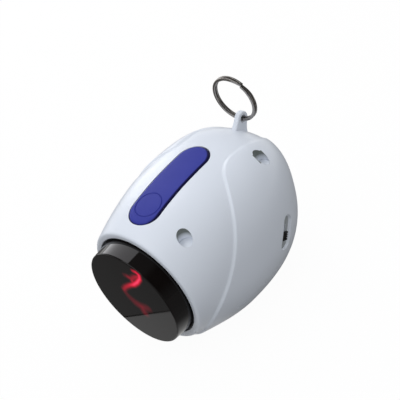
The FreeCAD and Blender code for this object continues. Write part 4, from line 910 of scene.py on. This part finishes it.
def lip_rows(turns):
    """Rows from inside the mouth over the rounded lip, for one row of directions."""
    zero = np.zeros_like(turns)
    corner = reach(zero, turns, 0)
    slope = (reach(zero + LIP_STEP, turns, 0) - corner) / LIP_STEP
    steep = np.sqrt(1 + slope ** 2)
    centre = corner + slope * LIP_ROUND - LIP_ROUND * steep
    made = [(zero + depth, zero + OPENING) for depth in MOUTH_DEPTHS]
    for angle in np.radians([22.5, 45, 67.5, 90]):
        made.append((zero + INNER_ROUND * (1 - math.sin(angle)),
                     zero + OPENING + INNER_ROUND * (1 - math.cos(angle))))
    last = np.arccos(slope / steep)
    for share in np.linspace(0, 1, 9):
        angle = last * share
        made.append((LIP_ROUND * (1 - np.cos(angle)), centre + LIP_ROUND * np.sin(angle)))
    return [np.stack([far * np.cos(turns), FRONT + depth, AXIS + far * np.sin(turns)], -1)
            for depth, far in made]


def blank_half():
    """All places of the right half of the blank; rows by columns."""
    distance = side_rows()
    turns = row_turns(distance)
    along = np.repeat(distance[:, None], turns.shape[1], axis=1)
    grow = rise_at(on_egg(along, turns, 0), along, turns)
    behind = along + grow * (along / LENGTH) ** TAIL_GROWTH
    side = on_egg(np.minimum(behind, LENGTH + grow) * TAIL_SHARE, turns, grow)
    side[-1] = (0, FRONT + LENGTH * TAIL_SHARE + RISE, AXIS)
    lip = lip_rows(turns[0])
    floor_row = np.zeros_like(lip[0])
    floor_row[:] = (0, lip[0][0][1], AXIS)
    return np.concatenate([[floor_row], lip, side])


blank = net("case_blank", blank_half())
modify(blank, "MIRROR", use_axis=(True, False, False), use_mirror_merge=True,
       merge_threshold=MERGE / 2)
tidy_mesh(blank)
smooth(blank, 60)
print("blank", len(blank.data.polygons), "faces")


# %% [markdown]
# ## Cutting the case
#
# The blank is a solid egg. A smaller egg, left whole where the screw towers stand, hollows it.
# Then come the long opening for the button, four screw wells and the slanted switch recess.
# After such cuts the cells next to a rim are slivers, and smooth shading would show them, so
# each outer face gets its shading back from the untouched blank, by looking up the nearest
# place on it.

# %% Shading from the blank
ON_PATTERN, SAME_WAY = 0.02 * MM, 0.9


def shade_like(piece, pattern):
    """Gives faces that lie on the pattern the pattern's smooth normals."""
    source = pattern.data
    corners = [vertex.co.copy() for vertex in source.vertices]
    normals = [vertex.normal.copy() for vertex in source.vertices]
    faces = [tuple(face.vertices) for face in source.polygons]
    tree = BVHTree.FromPolygons(corners, faces)
    mesh = piece.data
    custom = [Vector(normal.vector) for normal in mesh.corner_normals]
    changed = 0
    for face in mesh.polygons:
        spot, normal, index, distance = tree.find_nearest(face.center)
        if distance > ON_PATTERN or normal.dot(face.normal) < SAME_WAY:
            continue
        for loop in face.loop_indices:
            place = mesh.vertices[mesh.loops[loop].vertex_index].co
            spot, normal, index, distance = tree.find_nearest(place)
            around = faces[index]
            weights = poly_3d_calc([corners[i] for i in around], spot)
            blend = sum((normals[i] * w for i, w in zip(around, weights)), Vector())
            custom[loop] = blend.normalized()
        changed += 1
    mesh.normals_split_custom_set(custom)
    print("shading of", piece.name, "from its blank on", changed, "faces")


# %% [markdown]
# The cutters are a smaller egg and round bars. The screw towers are cut out of the smaller egg
# first, so the case stays solid there. The button's opening is a bar whose rear half is moved
# back, which makes it long.

# %% Pieces to cut with
# each pair of wells: how far out, how far behind the front, and the height of the floors
WELLS = ((21.1 * MM, 13.1 * MM, 57.8 * MM), (21.6 * MM, 66.2 * MM, 59.8 * MM))
WELL_RADIUS, TOWER_RADIUS, TOWER_LOW, WELL_LOW = 3.1 * MM, 4.6 * MM, 36.0 * MM, 38.4 * MM
BUTTON_HALF, BUTTON_START, BUTTON_END, BUTTON_GAP = 8.1 * MM, 6.5 * MM, 54.8 * MM, 0.14 * MM
HIGH = 120 * MM
# 4 n + 2 sides, so that no corner of the bar lies where its halves part
PRISM_SIDES = 98


def well_places():
    """The four screw wells."""
    return [(side * x, FRONT + behind) for x, behind, well_floor in WELLS for side in (1, -1)]


def inner_egg():
    """The hollow of the case."""
    distance = FRONT_WALL + (LENGTH - WALL - FRONT_WALL) * np.sin(np.linspace(0, math.pi / 2, 44))
    turns = np.linspace(0, 2 * math.pi, 97)
    along = np.repeat(distance[:, None], len(turns), axis=1)
    points = on_egg(along, np.repeat(turns[None, :], len(distance), axis=0), -WALL)
    points[-1] = (0, FRONT + LENGTH - WALL, AXIS)
    first = np.zeros_like(points[:1])
    first[:] = (0, FRONT + FRONT_WALL, AXIS)
    return tidy_mesh(net("hollow", np.concatenate([first, points])))


def long_prism(name, half, start, end, low, high):
    """An upright prism with round ends, from a bar whose rear half is moved back."""
    near, far = FRONT + start + half, FRONT + end - half
    bar = round_bar(name, half, (0, near), low, high, PRISM_SIDES)
    for vertex in bar.data.vertices:
        if vertex.co.y > near:
            vertex.co.y += far - near
    bar.data.update()
    return bar


hollow = inner_egg()
for number, place in enumerate(well_places()):
    carve(hollow, round_bar(f"tower_{number}", TOWER_RADIUS, place, TOWER_LOW, HIGH, sides=48))
print("hollow", len(hollow.data.polygons), "faces")


# %% [markdown]
# The switch sits in a slanted recess in the right panel. Its place follows from the egg: a
# point on the panel, the direction out of it there, and a tilt of 35 degrees. Its rear wall
# slopes up to the panel, so it catches the light as a wide pale strip.

# %% Frame of the switch recess
SLOT_AT, SLOT_DROP, SLOT_TILT = 59.0 * MM, 6.0 * MM, math.radians(35)
SLOT_LENGTH, SLOT_WIDTH, SLOT_DEPTH = 15.5 * MM, 6.2 * MM, 1.5 * MM
REAR_SHIFT, REAR_FLARE, END_FLARE = 1.1 * MM, 1.2 * MM, 0.7 * MM
SLIT_LENGTH, SLIT_WIDTH, SLIT_DEPTH = 7.1 * MM, 3.0 * MM, 6.0 * MM
SLOT_PROUD, SLIT_PROUD, PANEL_STEP = 0.6 * MM, 0.5 * MM, 0.1 * MM


def panel_x(distance, height):
    """X of the raised panel at a distance and a height."""
    side, top, rest = half_sizes(distance, RISE)
    power = squareness(distance)
    up = height - AXIS
    limit = top if up >= 0 else rest
    return float(side * (1 - abs(up / limit) ** power) ** (1 / power))


def slot_frame():
    """Matrix from the recess's own axes, x out and z along it, to the case."""
    height = AXIS - SLOT_DROP
    x = panel_x(SLOT_AT, height)
    along = (panel_x(SLOT_AT + PANEL_STEP, height) - x) / PANEL_STEP
    upward = (panel_x(SLOT_AT, height + PANEL_STEP) - x) / PANEL_STEP
    out = Vector((1, -along, -upward)).normalized()
    slot = Vector((0, math.sin(SLOT_TILT), math.cos(SLOT_TILT)))
    slot = (slot - out * slot.dot(out)).normalized()
    matrix = Matrix((out, slot.cross(out), slot)).transposed().to_4x4()
    matrix.translation = Vector((x, FRONT + SLOT_AT, height))
    return matrix


def slot_cutter():
    """The recess, with round ends; its rear wall slopes and its ends open a little."""
    half = SLOT_WIDTH / 2
    shift = SLOT_LENGTH / 2 - half
    bpy.ops.mesh.primitive_cylinder_add(vertices=50, radius=half, depth=SLOT_PROUD + SLOT_DEPTH,
                                        location=((SLOT_PROUD - SLOT_DEPTH) / 2, 0, 0),
                                        rotation=(0, math.pi / 2, 0))
    cutter = place_in_mesh(bpy.context.object)
    for vertex in cutter.data.vertices:
        side = 1 if vertex.co.z > 0 else -1
        rise = 1 + vertex.co.x / SLOT_DEPTH
        if vertex.co.y > 0:
            vertex.co.y *= 1 + (REAR_SHIFT + rise * REAR_FLARE) / half
        vertex.co.z += side * (shift + rise * END_FLARE)
    cutter.data.transform(slot_frame())
    return cutter


def slit_cutter():
    """The slit that the knob runs in."""
    bpy.ops.mesh.primitive_cube_add(size=1, location=(SLIT_PROUD - SLIT_DEPTH / 2, 0, 0),
                                    scale=(SLIT_DEPTH, SLIT_WIDTH, SLIT_LENGTH))
    cutter = place_in_mesh(bpy.context.object)
    cutter.data.transform(slot_frame())
    return cutter


print("switch recess at x, y, z", [round(part / MM, 1) for part in slot_frame().translation], "mm")


# %% [markdown]
# Deep places are darker in the photograph than two lamps and level air make them. So the mesh
# of the top shell carries a share of darkness, which the white finish reads: it grows from 0 at
# the floor of a well to 1 high on its wall, and it is the same all over the recess's floor.

# %% Shade of the recesses
FLOOR_SHADE, WALL_HEIGHT = 0.85, 3.4 * MM
WALL_REACH, FLOOR_GAP = 1.01 * WELL_RADIUS, 0.1 * MM


def paint_recess_shade(piece):
    """Keeps, for each corner of each face, how much painted shade the wells' walls and the slot's floor
    get.
    """
    to_slot = slot_frame().inverted()
    places, loops = piece.data.vertices, piece.data.loops
    share = piece.data.attributes.new("recess_share", "FLOAT", "CORNER")
    marked = 0
    for face in piece.data.polygons:
        middle = face.center
        for x, behind, well_floor in WELLS:
            away = math.hypot(middle.x - x, middle.y - FRONT - behind)
            if away < WALL_REACH and middle.z > SEAM:
                marked += 1
                for loop in face.loop_indices:
                    height = places[loops[loop].vertex_index].co.z
                    share.data[loop].value = (height - well_floor) / WALL_HEIGHT
        deep, across, along = to_slot @ middle
        inside = abs(across) < SLOT_WIDTH / 2 + REAR_SHIFT and abs(along) < SLOT_LENGTH / 2
        if inside and abs(deep + SLOT_DEPTH) < FLOOR_GAP:
            marked += 1
            for loop in face.loop_indices:
                share.data[loop].value = FLOOR_SHADE
    print("recesses marked on", marked, "faces")


# %% [markdown]
# The lug for the key ring is a rounded strap with a hole, and its foot flares into the case.
# It starts as an outline that is extruded and bevelled. Then its foot is widened by a
# formula before it is joined on.

# %% Lug
LUG_AT, LUG_HEIGHT, LUG_LEAN = FRONT + 81.15 * MM, AXIS + 34.5 * MM, math.radians(33)
LUG_RADIUS, LUG_HOLE, LUG_THICKNESS, LUG_ROUND = 3.4 * MM, 1.8 * MM, 2.8 * MM, 0.7 * MM
LUG_FOOT, LUG_DROP, LUG_ARC = 6.2 * MM, 9.0 * MM, 98
FLARE_DROP, FLARE_WIDTH, FLARE_POWER = 3.2 * MM, 0.9, 2.5


def lug():
    """The strap, still straight, upright and without its hole."""
    turns = math.pi / 2 + np.radians(np.linspace(-LUG_ARC, LUG_ARC, 41))
    outline = [(LUG_RADIUS * math.cos(t), LUG_RADIUS * math.sin(t)) for t in turns]
    for share in np.linspace(0.1, 1, 9):
        spread = LUG_RADIUS + (LUG_FOOT - LUG_RADIUS) * share ** 2
        outline.append((-spread, -LUG_DROP * share))
        outline.insert(0, (spread, -LUG_DROP * share))
    bpy.ops.mesh.primitive_circle_add(vertices=len(outline), fill_type="NGON")
    piece = bpy.context.object
    piece.name = "lug"
    for vertex, (across, up) in zip(piece.data.vertices, outline):
        vertex.co = (-LUG_THICKNESS / 2, LUG_AT + across, LUG_HEIGHT + up)
    only(piece)
    bpy.ops.object.mode_set(mode="EDIT")
    bpy.ops.mesh.select_all(action="SELECT")
    bpy.ops.mesh.extrude_region_move(TRANSFORM_OT_translate={"value": (LUG_THICKNESS, 0, 0)})
    bpy.ops.object.mode_set(mode="OBJECT")
    piece.location = (0, 0, 0)
    tidy_mesh(piece)
    modify(piece, "BEVEL", width=LUG_ROUND, segments=5, limit_method="ANGLE")
    return piece


def flare(piece):
    """Widens the foot of the lug towards the case and leans the lug back."""
    for vertex in piece.data.vertices:
        depth = max(0.0, (LUG_HEIGHT - FLARE_DROP - vertex.co.z) / (LUG_DROP - FLARE_DROP))
        vertex.co.x *= 1 + FLARE_WIDTH * depth ** FLARE_POWER
    pin = Vector((0, LUG_AT, LUG_HEIGHT))
    back = Matrix.Rotation(-LUG_LEAN, 4, "X")
    piece.data.transform(Matrix.Translation(pin) @ back @ Matrix.Translation(-pin))


def lug_hole():
    """The hole for the ring."""
    bpy.ops.mesh.primitive_cylinder_add(vertices=64, radius=LUG_HOLE, depth=4 * LUG_THICKNESS,
                                        location=(0, LUG_AT, LUG_HEIGHT),
                                        rotation=(0, math.pi / 2, 0))
    return place_in_mesh(bpy.context.object)


print("lug's hole at", round(LUG_AT / MM, 1), round(LUG_HEIGHT / MM, 1), "mm")


# %% [markdown]
# The top shell is the part of the blank above the seam. The strap of the lug is joined on
# before the hollow is cut, so nothing of its foot is left inside. Openings, wells and the
# switch recess follow, and then the shading comes back from the blank.

# %% Top shell
def copy_of(piece, name):
    """A copy with its own mesh."""
    made = piece.copy()
    made.data = piece.data.copy()
    made.name = name
    bpy.context.scene.collection.objects.link(made)
    return made


def cut_below(piece, height):
    """Takes off all of a piece below a height and closes it."""
    only(piece)
    bpy.ops.object.mode_set(mode="EDIT")
    bpy.ops.mesh.select_all(action="SELECT")
    bpy.ops.mesh.bisect(plane_co=(0, 0, height), plane_no=(0, 0, 1), use_fill=True,
                        clear_inner=True)
    bpy.ops.object.mode_set(mode="OBJECT")


top = copy_of(blank, "case_top")
cut_below(top, SEAM)
strap = lug()
flare(strap)
carve(top, strap, "UNION")
carve(top, hollow)
carve(top, lug_hole())
carve(top, long_prism("button_hole", BUTTON_HALF + BUTTON_GAP, BUTTON_START - BUTTON_GAP,
                      BUTTON_END + BUTTON_GAP, AXIS + MOUTH - 2 * WALL, HIGH))
for number, place in enumerate(well_places()):
    carve(top, round_bar(f"well_{number}", WELL_RADIUS, place, WELL_LOW, HIGH, sides=64))
carve(top, slot_cutter())
carve(top, slit_cutter())
smooth(top, 35)
shade_like(top, blank)
paint_recess_shade(top)
finished(top, "white_shell", "case", "top_shell")
bpy.data.objects.remove(blank)


# %% [markdown]
# ## The button
#
# The key is a long oval that follows the egg's top, 0.4 mm proud, with a well rounded edge. It
# is a net again: its columns run round the outline, its rows come up the wall, round the edge
# and inwards to the middle line. How near a place is to the edge is kept as an attribute, for
# the finish to paint shade there: a thin dark line, wider on the side away from the lamps. The
# plain ring is a groove, cut by a torus that is laid on the surface first.

# %% Button key
PROUD, KEY_ROUND, KEY_WALL = 0.4 * MM, 1.3 * MM, 3.6 * MM
KEY_FRONT = FRONT + BUTTON_START + BUTTON_HALF
KEY_REAR = FRONT + BUTTON_END - BUTTON_HALF
# quads round each end of the key, and along each side
KEY_ARC, KEY_BAR = 40, 30
GROOVE_AT, GROOVE_RADIUS, GROOVE_HALF, GROOVE_SINK = 16.5 * MM, 6.1 * MM, 0.3 * MM, 0.02 * MM
# painted shade on the key's rim: a thin line, wider on the side away from the lamps
LEE_SIDE = Vector((0.8, 0.6))
THIN_RIM, WIDE_RIM, RIM_BLEND = 0.3 * MM, 1.25 * MM, 0.45 * MM


def outline_of_key():
    """Directions and middle-line places round the key's outline, from the left over the front."""
    front_arc = np.linspace(-math.pi, 0, KEY_ARC, endpoint=False)
    right_bar = np.linspace(KEY_FRONT, KEY_REAR, KEY_BAR, endpoint=False)
    rear_arc = np.linspace(0, math.pi, KEY_ARC, endpoint=False)
    left_bar = np.linspace(KEY_REAR, KEY_FRONT, KEY_BAR + 1)
    turns = np.concatenate([front_arc, 0 * right_bar, rear_arc, 0 * left_bar + math.pi])
    middles = np.concatenate([0 * front_arc + KEY_FRONT, right_bar, 0 * rear_arc + KEY_REAR, left_bar])
    return turns, middles


def key_rows():
    """Insets from the outline and drops below the surface, from the wall's foot inwards."""
    rows = [(0.0, KEY_WALL), (0.0, KEY_ROUND)]
    for angle in np.radians(np.linspace(12, 90, 8)):
        rows.append((KEY_ROUND * (1 - math.cos(angle)), KEY_ROUND * (1 - math.sin(angle))))
    for share in np.linspace(0, 1, 22)[1:]:
        rows.append((KEY_ROUND + (BUTTON_HALF - KEY_ROUND) * share, 0.0))
    return rows


def key_net():
    """All places of the key's skin; rows by columns."""
    turns, middles = outline_of_key()
    made = []
    for inset, drop in key_rows():
        half = BUTTON_HALF - inset
        x, y = half * np.cos(turns), middles + half * np.sin(turns)
        made.append(np.stack([x, y, roof(x, y, PROUD) - drop], -1))
    return np.array(made)


def groove_cutter():
    """A thin torus laid on the key's surface."""
    bpy.ops.mesh.primitive_torus_add(major_segments=120, minor_segments=10,
                                     major_radius=GROOVE_RADIUS, minor_radius=GROOVE_HALF)
    ring = bpy.context.object
    for vertex in ring.data.vertices:
        x, y = vertex.co.x, vertex.co.y + FRONT + GROOVE_AT
        vertex.co = (x, y, vertex.co.z + float(roof(x, y, PROUD)) - GROOVE_SINK)
    ring.data.update()
    return ring


def paint_rim_shade(piece):
    """Keeps, for each vertex, its share of painted shade near the key's outline; the rim is wide on the
    side away from the lamps.
    """
    shares = []
    for vertex in piece.data.vertices:
        beside = min(max(vertex.co.y, KEY_FRONT), KEY_REAR)
        off = Vector((vertex.co.x, vertex.co.y - beside))
        inset = BUTTON_HALF - off.length
        lee = max(0.0, off.normalized().dot(LEE_SIDE)) if off.length else 0.0
        width = THIN_RIM + (WIDE_RIM - THIN_RIM) * lee
        shares.append(min(max((width - inset) / RIM_BLEND + 0.5, 0.0), 1.0))
    layer = piece.data.attributes.new("edge_share", "FLOAT", "POINT")
    layer.data.foreach_set("value", shares)


key_blank = tidy_mesh(net("key_blank", key_net()))
close_holes(key_blank)
smooth(key_blank, 60)
button = copy_of(key_blank, "button_key")
carve(button, groove_cutter())
paint_rim_shade(button)
smooth(button, 35)
shade_like(button, key_blank)
bpy.data.objects.remove(key_blank)
finished(button, "blue_button", "button", "push_button")


# %% [markdown]
# ## The split ring
#
# Two turns of flattened steel wire lie flat on each other, and where the ends are, the wire
# steps over from one layer to the other. The net's columns go round the wire's rounded
# section and its rows along the wire.

# %% Split ring
RING_OUTER, WIRE_WIDTH, WIRE_THICKNESS = 11.85 * MM, 1.5 * MM, 0.9 * MM
RING_MEAN = RING_OUTER - WIRE_WIDTH / 2
WIRE_ROUND, LAYER = 0.38 * MM, 1.3 * MM
RING_LEAN, RING_END = math.radians(93), math.radians(38)
# part of a turn on each side of the step from layer to layer
JOG = 0.09


def wire_section():
    """Outline of the flattened wire, rounded at its corners."""
    points = []
    for corner_x, corner_y, start in ((1, 1, 0), (-1, 1, 90), (-1, -1, 180), (1, -1, 270)):
        for angle in np.radians(np.linspace(start, start + 90, 5)):
            points.append((corner_x * (WIRE_WIDTH / 2 - WIRE_ROUND) + WIRE_ROUND * math.cos(angle),
                           corner_y * (WIRE_THICKNESS / 2 - WIRE_ROUND) + WIRE_ROUND * math.sin(angle)))
    return points + points[:1]


def ring_net():
    """Places of the wire's skin in the ring's own axes; rows by columns."""
    section = wire_section()
    made = []
    for turn in np.linspace(0, 2, 361):
        angle = 2 * math.pi * turn
        height = LAYER * (smooth_step((turn - 1) / (2 * JOG) + 0.5) - 0.5)
        across, along = math.cos(angle), math.sin(angle)
        made.append([((RING_MEAN + out) * across, (RING_MEAN + out) * along, height + up)
                     for out, up in section])
    return np.array(made)


def hang_ring(piece):
    """Turns the ring to its place in the lug's hole."""
    lean = Vector((0, math.cos(RING_LEAN), math.sin(RING_LEAN)))
    side = Vector((1, 0, 0))
    through = side.cross(lean)
    axes = Matrix((side, lean, through)).transposed().to_4x4()
    axes.translation = Vector((0, LUG_AT, LUG_HEIGHT)) + lean * RING_MEAN
    piece.data.transform(axes @ Matrix.Rotation(math.pi / 2 - RING_END, 4, "Z"))


ring = tidy_mesh(net("key_ring", ring_net()))
close_holes(ring)
hang_ring(ring)
smooth(ring, 40)
finished(ring, "ring_steel", "ring", "split_ring")
